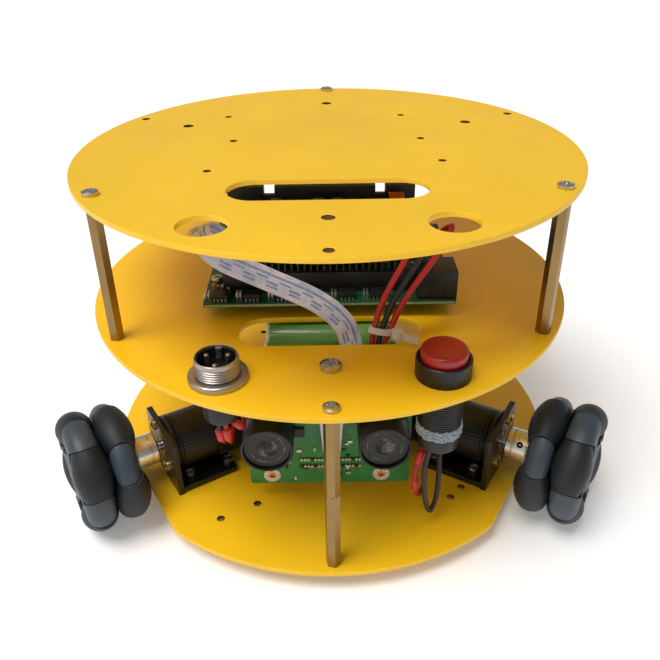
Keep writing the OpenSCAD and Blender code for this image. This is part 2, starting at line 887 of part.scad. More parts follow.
module power_leads() {
    color([0.75, 0.12, 0.1]) {
        for (x = [-2.5, 2.5])
            sweep(smooth_route([for (p = LEAD_ROUTE) beside(p, x)], 2),
                ring_outline(lead_r), [1, 0, 0]);
        sweep(BUTTON_RED, ring_outline(lead_r), [1, 0, 0]);
        sweep(SOCKET_ROUTE, ring_outline(lead_r), [1, 0, 0]);
    }
    color([0.1, 0.1, 0.1]) {
        sweep(smooth_route(LEAD_ROUTE, 2), ring_outline(lead_r), [1, 0, 0]);
        sweep(BUTTON_BLACK, ring_outline(lead_r), [1, 0, 0]);
        sweep([for (p = SOCKET_ROUTE) p + [-2.4, 0, 0]], ring_outline(lead_r), [1, 0, 0]);
    }
}

// ---------------------------------------------------------------- assembly

bottom_deck();
middle_deck();
top_deck();
lower_standoffs();
upper_standoffs();
deck_and_bracket_screws();
controller_board();
expansion_board();
board_spacers();
battery_pack();
charge_socket();
power_button_housing();
power_button_cap();
sensor_board();
sensor_transducers();
sensor_hanger();
ribbon_cable();
power_leads();
for (s = [0:2]) {
    side = SIDES[s];
    at_side(s) motor_bracket(SENSES[s]);
    at_side(s) gear_motor(SENSES[s]);
    at_wheel(s) motor_shaft();
    at_wheel(s) drive_hub(s);
    at_wheel(s) wheel_frame(s);
    at_wheel(s) wheel_fasteners(s);
    for (k = [1:ROLLERS])
        at_wheel(s) roller(s, k);
}
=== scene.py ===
"""Looks of the three-deck omni-wheel robot car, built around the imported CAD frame.
Shapes are written in millimetres and turned into metres when a piece is finished."""

import math
import random

import bmesh
import bpy
from mathutils import Matrix, Vector


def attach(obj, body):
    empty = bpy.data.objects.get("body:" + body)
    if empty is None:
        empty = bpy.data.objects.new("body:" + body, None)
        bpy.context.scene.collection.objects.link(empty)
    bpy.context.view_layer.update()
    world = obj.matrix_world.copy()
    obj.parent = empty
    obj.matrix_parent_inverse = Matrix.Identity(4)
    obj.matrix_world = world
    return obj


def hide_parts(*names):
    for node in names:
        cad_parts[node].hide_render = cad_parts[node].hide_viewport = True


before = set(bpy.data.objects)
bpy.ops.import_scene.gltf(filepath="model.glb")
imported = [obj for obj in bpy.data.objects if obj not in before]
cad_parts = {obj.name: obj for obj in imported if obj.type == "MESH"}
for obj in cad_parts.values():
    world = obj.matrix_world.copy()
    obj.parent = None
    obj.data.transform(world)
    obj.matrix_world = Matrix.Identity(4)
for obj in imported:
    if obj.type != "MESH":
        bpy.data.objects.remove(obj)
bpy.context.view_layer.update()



def put(name, data):
    """A new object, linked into the scene."""
    thing = bpy.data.objects.new(name, data)
    bpy.context.scene.collection.objects.link(thing)
    return thing


def fill(node, **values):
    """Sets a node's inputs, with underscores standing for the spaces in their names."""
    for key, value in values.items():
        node.inputs[key.replace("_", " ")].default_value = value


# ------------------------------------------------------------------ camera and light


def make_camera():
    pitch, roll = math.radians(31.36), math.radians(-0.87)
    ahead = Vector((0, math.cos(pitch), -math.sin(pitch)))
    up = Vector((0, math.sin(pitch), math.cos(pitch)))
    right = Vector((1, 0, 0)) * math.cos(roll) + up * math.sin(roll)
    up = right.cross(ahead)
    data = bpy.data.cameras.new("camera")
    data.sensor_width = 36
    data.lens = 740 / 660 * 36
    camera = put("camera", data)
    turn = Matrix((right, up, -ahead)).transposed().to_4x4()
    camera.matrix_world = Matrix.Translation((0, -0.285, 0.229)) @ turn
    bpy.context.scene.camera = camera


def sun(name, where, power, spread, colour=(1, 1, 1)):
    data = bpy.data.lights.new(name, "SUN")
    data.energy = power
    data.angle = math.radians(spread)
    data.color = colour
    lamp = put(name, data)
    lamp.rotation_euler = (-Vector(where)).to_track_quat("-Z", "Y").to_euler()


def make_lights():
    world = bpy.data.worlds.new("studio")
    world.use_nodes = True
    fill(world.node_tree.nodes["Background"], Color=(1, 1, 1, 1), Strength=0.3)
    bpy.context.scene.world = world
    sun("key", (-0.48, -0.3, 1.35), 2.4, 34, (1, 0.985, 0.97))
    sun("side", (-1, -0.45, 0.3), 0.35, 60, (0.97, 0.985, 1))
    view = bpy.context.scene.view_settings
    view.view_transform = "Standard"
    view.look = "None"
    view.exposure = 0
    view.gamma = 1


make_camera()
make_lights()

# ------------------------------------------------------------------ materials


def srgb(r, g, b):
    def one(c):
        c /= 255
        return c / 12.92 if c <= 0.04045 else ((c + 0.055) / 1.055) ** 2.4

    return one(r), one(g), one(b)


class Nodes:
    """A material's node tree with short calls for the nodes used here."""

    def __init__(self, name):
        self.material = bpy.data.materials.new(name)
        self.material.use_nodes = True
        self.tree = self.material.node_tree
        self.shader = self.tree.nodes["Principled BSDF"]

    def link(self, a, b):
        self.tree.links.new(a, b)

    def node(self, kind, **settings):
        n = self.tree.nodes.new(kind)
        for key, value in settings.items():
            setattr(n, key, value)
        return n

    def coords(self, stretch=(1, 1, 1)):
        place = self.node("ShaderNodeMapping")
        fill(place, Scale=stretch)
        self.link(self.node("ShaderNodeTexCoord").outputs["Object"], place.inputs["Vector"])
        return place.outputs["Vector"]

    def noise(self, scale, detail=4, rough=0.55, where=None):
        n = self.node("ShaderNodeTexNoise")
        fill(n, Scale=scale, Detail=detail, Roughness=rough)
        self.link(where or self.coords(), n.inputs["Vector"])
        return n.outputs["Fac"]

    def cells(self, scale):
        n = self.node("ShaderNodeTexVoronoi")
        fill(n, Scale=scale)
        self.link(self.coords(), n.inputs["Vector"])
        return n.outputs["Distance"]

    def span(self, value, low, high, to_low=0.0, to_high=1.0):
        n = self.node("ShaderNodeMapRange")
        fill(n, From_Min=low, From_Max=high, To_Min=to_low, To_Max=to_high)
        self.link(value, n.inputs["Value"])
        return n.outputs["Result"]

    def math(self, operation, a, b=None):
        n = self.node("ShaderNodeMath", operation=operation)
        for socket, value in zip(n.inputs, (a, b)):
            if isinstance(value, (int, float)):
                socket.default_value = value
            elif value is not None:
                self.link(value, socket)
        return n.outputs[0]

    def times(self, a, b):
        return self.math("MULTIPLY", a, b)

    def mix(self, factor, a, b):
        n = self.node("ShaderNodeMix", data_type="RGBA")
        self.link(factor, n.inputs["Factor"])
        for socket, value in ((n.inputs[6], a), (n.inputs[7], b)):
            if isinstance(value, tuple):
                socket.default_value = (*value, 1)
            else:
                self.link(value, socket)
        return n.outputs[2]

    def bump(self, height, strength, distance):
        n = self.node("ShaderNodeBump")
        fill(n, Strength=strength, Distance=distance)
        self.link(height, n.inputs["Height"])
        self.link(n.outputs["Normal"], self.shader.inputs["Normal"])

    def colour(self, output):
        self.link(output, self.shader.inputs["Base Color"])

    def rough(self, output):
        self.link(output, self.shader.inputs["Roughness"])


def tint(colour, amount):
    return tuple(min(1.0, c * amount) for c in colour)


def surface(name, colour, rough=0.5, metal=0.0, vary=0.08, patch=90, grain=1500, bump=0.1,
            depth=0.00005, stretch=(1, 1, 1), coat=0.0, spec=0.5):
    """A material with blotches of the given patch size, uneven gloss and a fine grain."""
    m = Nodes(name)
    fill(m.shader, Metallic=metal, Specular_IOR_Level=spec, Coat_Weight=coat, Coat_Roughness=0.15)
    blotch = m.noise(patch, 5)
    tones = tint(colour, 1 - vary), tint(colour, 1 + vary)
    m.colour(m.mix(m.span(blotch, 0.3, 0.7), *tones))
    streak = m.noise(grain, 3, 0.6, m.coords(stretch))
    gloss = m.math("ADD", m.times(blotch, 0.5), m.times(streak, 0.5))
    m.rough(m.span(gloss, 0.3, 0.7, max(0.02, rough - 0.09), min(1.0, rough + 0.09)))
    m.bump(streak, bump, depth)
    return m.material


def deck_paint():
    """Yellow powder coat: a fine orange peel, faint dust and darker handling marks."""
    m = Nodes("deck_powder_coat")
    base = srgb(252, 199, 24)
    wide = m.span(m.noise(14, 6, 0.6), 0.35, 0.68)
    colour = m.mix(wide, tint(base, 0.93), tint(base, 1.04))
    marks = m.span(m.noise(60, 8, 0.7), 0.62, 0.78)
    colour = m.mix(m.times(marks, 0.16), colour, srgb(214, 150, 22))
    dust = m.span(m.cells(900), 0.0, 0.07, 1.0, 0.0)
    m.colour(m.mix(m.times(dust, 0.12), colour, srgb(255, 240, 190)))
    m.rough(m.span(m.noise(45, 6), 0.3, 0.7, 0.3, 0.44))
    fill(m.shader, Specular_IOR_Level=0.5)
    m.bump(m.noise(1400, 3), 0.18, 0.00006)
    return m.material


def circuit_board(name, dark, light, upright=False):
    """Green solder mask over copper tracks, which show as faint raised lines."""
    m = Nodes(name)
    where = m.coords((1, 1, 1))
    if upright:
        fill(where.node, Rotation=(math.radians(90), 0, 0))
    tracks = m.node("ShaderNodeTexBrick", offset=0.37, squash=1.0)
    fill(tracks, Scale=260, Mortar_Size=0.035, Color1=(0, 0, 0, 1))
    fill(tracks, Color2=(0, 0, 0, 1), Mortar=(1, 1, 1, 1))
    m.link(where, tracks.inputs["Vector"])
    seen = m.times(tracks.outputs["Color"], m.span(m.noise(70, 2), 0.45, 0.55))
    blotch = m.mix(m.span(m.noise(50, 4), 0.3, 0.7), dark, tint(dark, 1.35))
    m.colour(m.mix(m.times(seen, 0.75), blotch, light))
    m.rough(m.span(m.noise(300, 4), 0.3, 0.7, 0.2, 0.38))
    m.bump(seen, 0.25, 0.00008)
    return m.material


def ribbon_film():
    """White flat cable: ridged conductors, blue dashes and one long blue line."""
    m = Nodes("ribbon_film")
    parts = m.node("ShaderNodeSeparateXYZ")
    m.link(m.node("ShaderNodeUVMap", uv_map="strip").outputs["UV"], parts.inputs["Vector"])
    across, along = parts.outputs["X"], parts.outputs["Y"]

    def band(low, high, value):
        return m.times(m.math("GREATER_THAN", value, low), m.math("LESS_THAN", value, high))

    def dashes(low, high, length, shift):
        beat = m.math("FRACT", m.math("ADD", m.math("DIVIDE", along, length), shift))
        return m.times(band(low, high, across), m.math("LESS_THAN", beat, 0.5))

    ink = m.math("MAXIMUM", dashes(0.2, 0.3, 9.0, 0.1), dashes(0.36, 0.46, 9.0, 0.16))
    ink = m.math("MAXIMUM", ink, dashes(0.52, 0.6, 9.0, 0.64))
    ink = m.math("MAXIMUM", ink, band(0.68, 0.8, across))
    ink = m.math("MAXIMUM", ink, m.times(dashes(0.88, 0.93, 6.0, 0.3), 0.6))
    soft = m.times(ink, m.span(m.noise(700, 4), 0.25, 0.65, 0.45, 0.85))
    paper = m.mix(m.span(m.noise(160, 4), 0.35, 0.65), srgb(178, 188, 222), srgb(222, 222, 236))
    edge = m.span(across, 0.0, 0.1, 1.0, 0.0)
    paper = m.mix(m.times(edge, 0.6), paper, srgb(204, 176, 176))
    m.colour(m.mix(soft, paper, srgb(84, 122, 190)))
    fill(m.shader, Roughness=0.36)
    ridge = m.math("ABSOLUTE", m.math("SINE", m.times(across, math.pi * 10)))
    m.bump(ridge, 0.5, 0.0002)
    return m.material


def transducer_grille():
    """Dark paper cone behind a fine wire mesh, light grey in patches: partly the wire's own grey
    and partly painted glint.
    """
    m = Nodes("transducer_grille")
    mesh = m.cells(1700)
    patch = m.span(m.noise(150, 3), 0.4, 0.6)
    # lighter patches: the mesh's own grey, brightened as painted glint
    grey_mesh_and_glint = m.times(patch, m.span(m.noise(1300, 5, 0.7), 0.4, 0.68))
    m.colour(m.mix(grey_mesh_and_glint, srgb(14, 14, 15), srgb(168, 168, 160)))
    m.rough(m.span(grey_mesh_and_glint, 0, 1, 0.55, 0.32))
    m.bump(mesh, 0.8, 0.0003)
    return m.material


def battery_wrap():
    """Green shrink film, drawn tight in long wrinkles over the cells."""
    m = Nodes("battery_wrap")
    wrinkle = m.noise(260, 5, 0.6, m.coords((0.25, 1, 1)))
    tone = m.span(m.noise(40, 4), 0.3, 0.7)
    m.colour(m.mix(tone, srgb(84, 132, 58), srgb(106, 158, 80)))
    m.rough(m.span(wrinkle, 0.3, 0.7, 0.2, 0.4))
    fill(m.shader, Coat_Weight=0.3)
    m.bump(wrinkle, 0.35, 0.0004)
    return m.material


def turned_metal(name, colour, rough=0.28, rings=700.0, blend=0.12):
    """Metal with the fine rings of a lathe along its axis, given as the local X."""
    m = Nodes(name)
    fill(m.shader, Metallic=1.0)
    blotch = m.noise(120, 4)
    tones = tint(colour, 1 - blend), tint(colour, 1 + blend)
    m.colour(m.mix(m.span(blotch, 0.3, 0.7), *tones))
    lines = m.noise(rings, 2, 0.5, m.coords((1, 0.04, 0.04)))
    m.rough(m.span(lines, 0.3, 0.7, rough - 0.08, rough + 0.1))
    m.bump(lines, 0.16, 0.00004)
    return m.material


def clear_nylon():
    m = Nodes("clear_nylon")
    m.colour(m.mix(m.span(m.noise(300), 0.3, 0.7), (0.8, 0.8, 0.78), (0.95, 0.95, 0.94)))
    fill(m.shader, Roughness=0.32, Transmission_Weight=0.35, IOR=1.5)
    m.bump(m.noise(900), 0.1, 0.00005)
    return m.material


DECK = deck_paint()
BOARD = circuit_board("solder_mask", srgb(12, 60, 38), srgb(44, 112, 74))
SENSOR_BOARD = circuit_board("sensor_mask", srgb(22, 116, 62), srgb(64, 158, 104), True)
RIBBON = ribbon_film()
GRILLE = transducer_grille()
WRAP = battery_wrap()
TIE = clear_nylon()
BRASS = surface(
    "brass_bar", srgb(150, 124, 80), 0.34, 1.0, 0.1, 60, 900, 0.12, stretch=(1, 1, 0.05)
)
STEEL = surface("zinc_steel", srgb(196, 194, 190), 0.27, 1.0, 0.1, 300, 2600, 0.1)
# dark brown for the hole walls: painted shade
SHADED_HOLE_WALL = surface("hole_wall_painted_shade", srgb(112, 78, 26), 0.5, 0.3, 0.1, 400, 2600)
# dark sheets and discs of painted shade, standing for holes and openings
DARK_RECESS = surface("recess_shadow", srgb(44, 42, 40), 0.5, 1.0, 0.1, 300)
FACE_BRASS = surface("face_screw_brass", srgb(214, 190, 120), 0.28, 1.0, 0.1, 300, 2600)
SHAFT = turned_metal("ground_shaft", srgb(205, 205, 206), 0.18)
HUB = turned_metal("turned_hub", srgb(212, 204, 192), 0.3, 900.0)
NICKEL = surface("nickel_plate", srgb(176, 169, 163), 0.36, 1.0, 0.08, 220, 1800, 0.08)
# a darker copy of the pin metal: painted shade on the pins standing between the boards
SHADED_PIN = surface("pin_painted_shade", srgb(84, 84, 70), 0.45, 0.6, 0.1, 500, 3000)
PINS = surface("tinned_pin", srgb(150, 148, 142), 0.36, 1.0, 0.1, 500, 3000)
PAD = surface("tinned_pad", srgb(214, 210, 202), 0.45, 0.2, 0.12, 700, 2600, 0.4)
SOLDER = surface("solder", srgb(196, 198, 200), 0.36, 1.0, 0.12, 900, 3000, 0.3)
BLACK = surface("moulded_black", srgb(14, 14, 15), 0.42, 0, 0.14, 200, 2400, 0.2)
HEADER = surface("header_black", srgb(20, 21, 20), 0.46, 0, 0.15, 260, 2200, 0.2)
CHIP = surface("chip_black", srgb(30, 31, 33), 0.5, 0, 0.12, 400, 3500, 0.25)
COLLAR = surface("button_collar", srgb(11, 10, 10), 0.36, 0, 0.1, 150, 2200, 0.12)
RED = surface("button_red", srgb(162, 4, 12), 0.36, 0, 0.08, 120, 1800, 0.14, coat=0.35)
BRACKET = surface("bracket_black", srgb(14, 13, 13), 0.36, 0.0, 0.2, 160, 1900, 0.16, coat=0.1)
GEARBOX = surface("gearbox_black", srgb(13, 13, 12), 0.4, 0, 0.2, 160, 1600, 0.2)
CAN = surface("motor_can", srgb(24, 24, 26), 0.33, 0.7, 0.12, 120, 1200, 0.12)
ENDCAP = surface("motor_endcap", srgb(224, 222, 212), 0.5, 0, 0.06, 150, 1800, 0.15)
HANGER = surface(
    "brushed_strip", srgb(214, 214, 218), 0.5, 0.15, 0.08, 60, 900, 0.16, stretch=(1, 1, 0.04)
)
NYLON = surface("white_nylon", srgb(232, 230, 224), 0.45, 0, 0.05, 200, 1800, 0.12)
LEAD_RED = surface("lead_red", srgb(168, 20, 18), 0.4, 0, 0.1, 260, 2200, 0.1)
LEAD_BLACK = surface("lead_black", srgb(24, 22, 22), 0.42, 0, 0.1, 260, 2200, 0.1)
SHRINK_RED = surface("shrink_red", srgb(200, 44, 40), 0.36, 0, 0.12, 400, 1500, 0.3)
GLUE = surface("hot_glue", srgb(150, 160, 170), 0.3, 0, 0.12, 500, 900, 0.7, 0.0004)
FOAM = surface("foam_pad", srgb(70, 70, 72), 0.9, 0, 0.15, 500, 1600, 0.6, 0.0003)
COPPER = surface("copper_coil", srgb(196, 120, 60), 0.34, 1.0, 0.1, 300, 1800)
LED_BODY = surface("led_amber", srgb(196, 110, 50), 0.25, 0, 0.1, 500, 1800, coat=0.3)
SEALER = surface("board_edge", srgb(148, 160, 110), 0.6, 0, 0.12, 500, 1800, 0.2)
CELL_END = surface("cell_end_card", srgb(222, 226, 216), 0.6, 0, 0.06, 200, 1500, 0.2)
WHEEL_GREY = surface("wheel_nylon", srgb(55, 66, 76), 0.48, 0, 0.09, 130, 1500, 0.22)
ROLLER = surface("roller_rubber", srgb(15, 22, 28), 0.58, 0, 0.14, 160, 1300, 0.3, 0.0001)
SLEEVE = surface("roller_sleeve", srgb(60, 61, 62), 0.5, 0, 0.1, 300, 1600, 0.2)

# ------------------------------------------------------------------ shapes


def turned(heading):
    return Matrix.Rotation(math.radians(heading), 4, "Z")


def moved(x, y=0.0, z=0.0):
    return Matrix.Translation((x, y, z))


def rolled(angle):
    return Matrix.Rotation(math.radians(angle), 4, "X")


def polar(r, heading):
    return r * math.cos(math.radians(heading)), r * math.sin(math.radians(heading))


def arc(x, y, rx, ry, headings):
    """Points on an ellipse about x, y at the given headings."""
    turns = [math.radians(a) for a in headings]
    return [(x + rx * math.cos(t), y + ry * math.sin(t)) for t in turns]


def rect(x0, x1, y0, y1):
    """A rectangle, as an outline or as the section of a turned ring or disc."""
    return [(x0, y0), (x1, y0), (x1, y1), (x0, y1)]


X_AXIS = Matrix.Rotation(math.radians(90), 4, "Y")
Y_AXIS = rolled(-90)
# Stands an outline drawn in X and Y up in the YZ plane, with its thickness along X
ALONG_X = Matrix(((0, 0, 1, 0), (1, 0, 0, 0), (0, 1, 0, 0), (0, 0, 0, 1)))


def circle(r, n, x=0.0, y=0.0, start=0.0):
    return arc(x, y, r, r, [start + 360 * i / n for i in range(n)])


def rounded(points, r, steps=4, closed=True):
    """The outline with each corner replaced by an arc of radius r, or by r's own entry."""
    out = []
    count = len(points)
    for i, p in enumerate(points):
        radius = r[i] if isinstance(r, (list, tuple)) else r
        if radius <= 0 or (not closed and i in (0, count - 1)):
            out.append(p)
            continue
        p = Vector(p)
        a = Vector(points[i - 1]) - p
        b = Vector(points[(i + 1) % count]) - p
        half = a.angle(b) / 2
        reach = min(radius / math.tan(half), a.length * 0.49, b.length * 0.49)
        radius = reach * math.tan(half)
        a.normalize()
        b.normalize()
        centre = p + (a + b).normalized() * radius / math.sin(half)
        first, last = p + a * reach - centre, p + b * reach - centre
        for k in range(steps + 1):
            v = first.slerp(last, k / steps) if first.length > 1e-9 else first
            out.append(tuple(centre + v))
    return out


def outward(bm):
    """Turns every face's normal outwards."""
    bmesh.ops.recalc_face_normals(bm, faces=bm.faces)
    return bm


def revolve(profile, n=48, closed=False):
    """Turns a profile of (radius, height) points about Z."""
    bm = bmesh.new()
    rings = []
    for r, z in profile:
        if r < 1e-6:
            rings.append([bm.verts.new((0, 0, z))])
        else:
            rings.append([bm.verts.new((x, y, z)) for x, y in circle(r, n)])
    pairs = list(zip(rings, rings[1:]))
    if closed:
        pairs.append((rings[-1], rings[0]))
    for a, b in pairs:
        for i in range(n):
            j = (i + 1) % n
            ring = [a[i % len(a)], a[j % len(a)], b[j % len(b)], b[i % len(b)]]
            ring = list(dict.fromkeys(ring))
            if len(ring) > 2:
                bm.faces.new(ring)
    if not closed:
        for ring in (rings[0], rings[-1]):
            if len(ring) > 2:
                bm.faces.new(ring)
    return outward(bm)


def bevel_all(bm, edge, edges=None, steps=2):
    if edge > 0:
        geom = list(edges if edges is not None else bm.edges)
        bmesh.ops.bevel(bm, geom=geom, offset=edge, segments=steps, profile=0.6,
                        affect="EDGES", clamp_overlap=True)
    return bm


def prism(outline, z0, z1, edge=0.0, steps=2):
    """An outline extruded along Z with rounded rims."""
    bm = bmesh.new()
    low = [bm.verts.new((x, y, z0)) for x, y in outline]
    high = [bm.verts.new((x, y, z1)) for x, y in outline]
    n = len(outline)
    for i in range(n):
        j = (i + 1) % n
        bm.faces.new([low[i], low[j], high[j], high[i]])
    bm.faces.new(low[::-1])
    bm.faces.new(high)
    outward(bm)
    rims = [e for e in bm.edges if abs(e.verts[0].co.z - e.verts[1].co.z) < 1e-9]
    return bevel_all(bm, edge, rims, steps)


def box(x0, y0, z0, w, d, h, edge=0.15):
    bm = prism(rect(x0, x0 + w, y0, y0 + d), z0, z0 + h)
    return bevel_all(bm, min(edge, w / 4, d / 4, h / 4))


def plate(outline, holes, z0, z1, edge=0.2):
    """A flat plate with holes, cut as a filled curve. Outlines are given at their true size."""
    data = bpy.data.curves.new("plate", "CURVE")
    data.dimensions = "2D"
    data.fill_mode = "BOTH"
    for points in [outline, *holes]:
        spline = data.splines.new("POLY")
        spline.points.add(len(points) - 1)
        for p, (x, y) in zip(spline.points, points):
            p.co = (x, y, 0, 1)
        spline.use_cyclic_u = True
    data.extrude = (z1 - z0) / 2 - edge
    data.bevel_depth = edge
    data.bevel_resolution = 2
    data.offset = -edge
    thing = put("plate", data)
    graph = bpy.context.evaluated_depsgraph_get()
    mesh = bpy.data.meshes.new_from_object(thing.evaluated_get(graph))
    bm = bmesh.new()
    bm.from_mesh(mesh)
    bmesh.ops.remove_doubles(bm, verts=bm.verts, dist=1e-5)
    bmesh.ops.translate(bm, vec=(0, 0, (z0 + z1) / 2), verts=bm.verts)
    outward(bm)
    for vert in bm.verts:
        for level in (z0, z1):
            if abs(vert.co.z - level) < 1e-3:
                vert.co.z = level
    bm.normal_update()
    for face in bm.faces:
        ends = [max(abs(vert.co.z - level) for vert in face.verts) for level in (z0, z1)]
        face.smooth = min(ends) > 1e-3
    bpy.data.objects.remove(thing)
    bpy.data.curves.remove(data)
    bpy.data.meshes.remove(mesh)
    return bm


def spline(points, steps):
    """A Catmull-Rom curve through the points."""
    pts = [Vector(p) for p in points]
    out = []
    for i in range(len(pts) - 1):
        a, b = pts[max(i - 1, 0)], pts[i]
        c, d = pts[i + 1], pts[min(i + 2, len(pts) - 1)]
        for k in range(steps):
            t = k / steps
            low = 2 * b + (c - a) * t + (2 * a - 5 * b + 4 * c - d) * t * t
            out.append(0.5 * (low + (3 * b - a - 3 * c + d) * t * t * t))
    return [*out, pts[-1]]


def sweep(route, outline, side, uv=False):
    """A closed outline carried along a route without twisting."""
    bm = bmesh.new()
    layer = bm.loops.layers.uv.new("strip") if uv else None
    rings, normal, gone = [], Vector(side), [0.0]
    for i, p in enumerate(route):
        ahead = (route[min(i + 1, len(route) - 1)] - route[max(i - 1, 0)]).normalized()
        normal = (normal - ahead * normal.dot(ahead)).normalized()
        other = ahead.cross(normal)
        rings.append([bm.verts.new(p + normal * a + other * b) for a, b in outline])
        if i:
            gone.append(gone[-1] + (p - route[i - 1]).length)
    n = len(outline)
    wide = max(a for a, _ in outline)
    for i in range(len(rings) - 1):
        for j in range(n):
            k = (j + 1) % n
            face = bm.faces.new([rings[i][j], rings[i][k], rings[i + 1][k], rings[i + 1][j]])
            if uv:
                spots = ((j, i), (k, i), (k, i + 1), (j, i + 1))
                for loop, (q, row) in zip(face.loops, spots):
                    loop[layer].uv = ((outline[q][0] / wide + 1) / 2, gone[row])
    bm.faces.new(rings[0][::-1])
    bm.faces.new(rings[-1])
    return outward(bm)


def tube(points, r, steps=6, n=14):
    return sweep(spline(points, steps), circle(r, n), (1, 0, 0))


def domed_head(r, h):
    """A screw's domed head with a cross recess, standing on z = 0."""
    bm = bmesh.new()
    dome = 2.2 * r
    rings, around = 13, 64
    grid = []
    for i in range(rings + 1):
        rho = r * i / rings
        ring = []
        for k in range(around if i else 1):
            a = 2 * math.pi * k / around
            x, y = rho * math.cos(a), rho * math.sin(a)
            z = h - dome + math.sqrt(dome * dome - rho * rho)
            arm = min(abs(x), abs(y))
            reach = max(abs(x), abs(y))
            sunk = min(1, max(0, (0.15 * r - arm) / (0.08 * r)))
            sunk *= min(1, max(0, (0.6 * r - reach) / (0.1 * r)))
            ring.append(bm.verts.new((x, y, z - sunk * 0.45 * h)))
        grid.append(ring)
    skirt = [bm.verts.new((v.co.x, v.co.y, 0)) for v in grid[-1]]
    grid.append(skirt)
    for a, b in zip(grid, grid[1:]):
        for k in range(around):
            j = (k + 1) % around
            ring = list(dict.fromkeys([a[k % len(a)], b[k], b[j], a[j % len(a)]]))
            bm.faces.new(ring)
    bm.faces.new(skirt[::-1])
    return outward(bm)


def hexagon(r, turn=0.0):
    return circle(r, 6, start=turn)


def nut(r, h):
    return prism(hexagon(r), 0, h, 0.3)


class Piece:
    """Collects shapes, each with its material, into one object."""

    def __init__(self, name):
        self.name = name
        self.bm = bmesh.new()
        self.materials = []

    def add(self, shape, material, place=None):
        if material not in self.materials:
            self.materials.append(material)
        index = self.materials.index(material)
        flats_marked = any(face.smooth for face in shape.faces)
        for face in shape.faces:
            face.material_index = index
            if not flats_marked:
                face.smooth = True
        if place is not None:
            bmesh.ops.transform(shape, matrix=place, verts=shape.verts)
        mesh = bpy.data.meshes.new("part")
        shape.to_mesh(mesh)
        shape.free()
        self.bm.from_mesh(mesh)
        bpy.data.meshes.remove(mesh)

    def turn(self, material, place, profile, n=48, closed=False):
        self.add(revolve(profile, n, closed), material, place)

    def block(self, material, *sizes):
        self.add(box(*sizes), material)

    def done(self, nodes=(), slot=None, angle=33, body="chassis"):
        bmesh.ops.scale(self.bm, vec=(0.001, 0.001, 0.001), verts=self.bm.verts)
        mesh = bpy.data.meshes.new(self.name)
        self.bm.to_mesh(mesh)
        self.bm.free()
        for material in self.materials:
            mesh.materials.append(material)
        smooth = [face.use_smooth for face in mesh.polygons]
        mesh.set_sharp_from_angle(angle=math.radians(angle))
        mesh.polygons.foreach_set("use_smooth", smooth)
        thing = put(self.name, mesh)
        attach(thing, body)
        if nodes:
            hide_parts(*nodes)


# ------------------------------------------------------------------ sizes shared with the CAD

SIDES = (("left", -150, 1, 215), ("right", -30, -1, 140), ("rear", 90, 1, 90))
LOWER = (-90, 30, 150)
UPPER = (-150, -30, 90)
BOTTOM, FLOOR = 7.7, 9.7
MIDDLE, MIDDLE_TOP = 79.7, 81.7
TOP, TOP_TOP = 136.7, 138.7
DECK_R, FLAT_U = 98, 92
EDGE_RING, PAYLOAD_RING = 93, 69
PANEL_X, PANEL_Y = 39, -74
M3_HOLE, M4_HOLE, OPEN_M3_HOLE, OPEN_M4_HOLE = 1.6, 2.05, 1.8, 2.25
AXLE = 25
WHEEL_R = 25
WHEEL_U = 108.4
ROW_X, ROLLER_RING, ROLLERS = 6.5, 17.8, 8
BRACKET_U = 83.5
BRACKET_HOLES = [(u, v) for u in (58.2, 75.5) for v in (-9.3, 9.3)]
PITCH = 2.54
PART_SIZES = ((1.6, 0.8), (0.8, 1.6), (2.0, 1.2))
BOARD_FRONT, BOARD_Z, BOARD_TOP = -34.5, 87.2, 88.8
EXPANSION, EXPANSION_TOP = 104.3, 105.9
TRANSDUCERS = (-24.2, 19.8)
SENSOR_Y, STRIP_Y, SENSOR_HOLE_Z, TRANSDUCER_Z = -59.8, -61.6, 23.4, 47.7
HANGER_BOLT_Y = -69
SLOT_Y, SLOT_R, SLOT_HALF = -44, 10, 25
BOARD_HOLES = [(x, y) for x in (-45.5, 45.5) for y in (-14.5, 21.5)]


def ring_points(r, headings):
    return [polar(r, a) for a in headings]


def at_wheel(heading):
    return turned(heading) @ moved(WHEEL_U, 0, AXLE)


# ------------------------------------------------------------------ decks


def slot_outline():
    """The cable slot of the upper two decks: two half circles, 50 mm apart."""
    out = []
    for x, start in ((SLOT_HALF, -90), (-SLOT_HALF, 90)):
        out += arc(x, SLOT_Y, SLOT_R, SLOT_R, [start + 180 * i / 32 for i in range(33)])
    return out


def round_holes(edge, payload):
    holes = [circle(edge, 24, x, y) for x, y in ring_points(EDGE_RING, LOWER + UPPER)]
    holes += [circle(payload, 28, x, y) for x, y in ring_points(PAYLOAD_RING, (-90, 30, 90, 150))]
    holes += [circle(8.25, 72, x, PANEL_Y) for x in (-PANEL_X, PANEL_X)]
    return [*holes, slot_outline()]


def line_holes(piece, holes, z0, z1):
    """The bare walls of the drilled holes, coloured dark brown as painted shade."""
    for points in holes:
        x = sum(p[0] for p in points) / len(points)
        y = sum(p[1] for p in points) / len(points)
        r = math.dist((x, y), points[0])
        wall = [(r - 0.03, z0 + 0.12), (r - 0.03, z1 - 0.12)]
        wall += [(r + 0.3, z1 - 0.12), (r + 0.3, z0 + 0.12)]
        piece.turn(SHADED_HOLE_WALL, moved(x, y), wall, 32, True)


def round_deck(name, z0, z1, holes, extra):
    piece = Piece(f"{name}_plate")
    piece.add(plate(circle(DECK_R, 288), holes + extra, z0, z1), DECK)
    line_holes(piece, holes[:10] + extra, z0, z1)
    piece.done([name], "deck_paint")


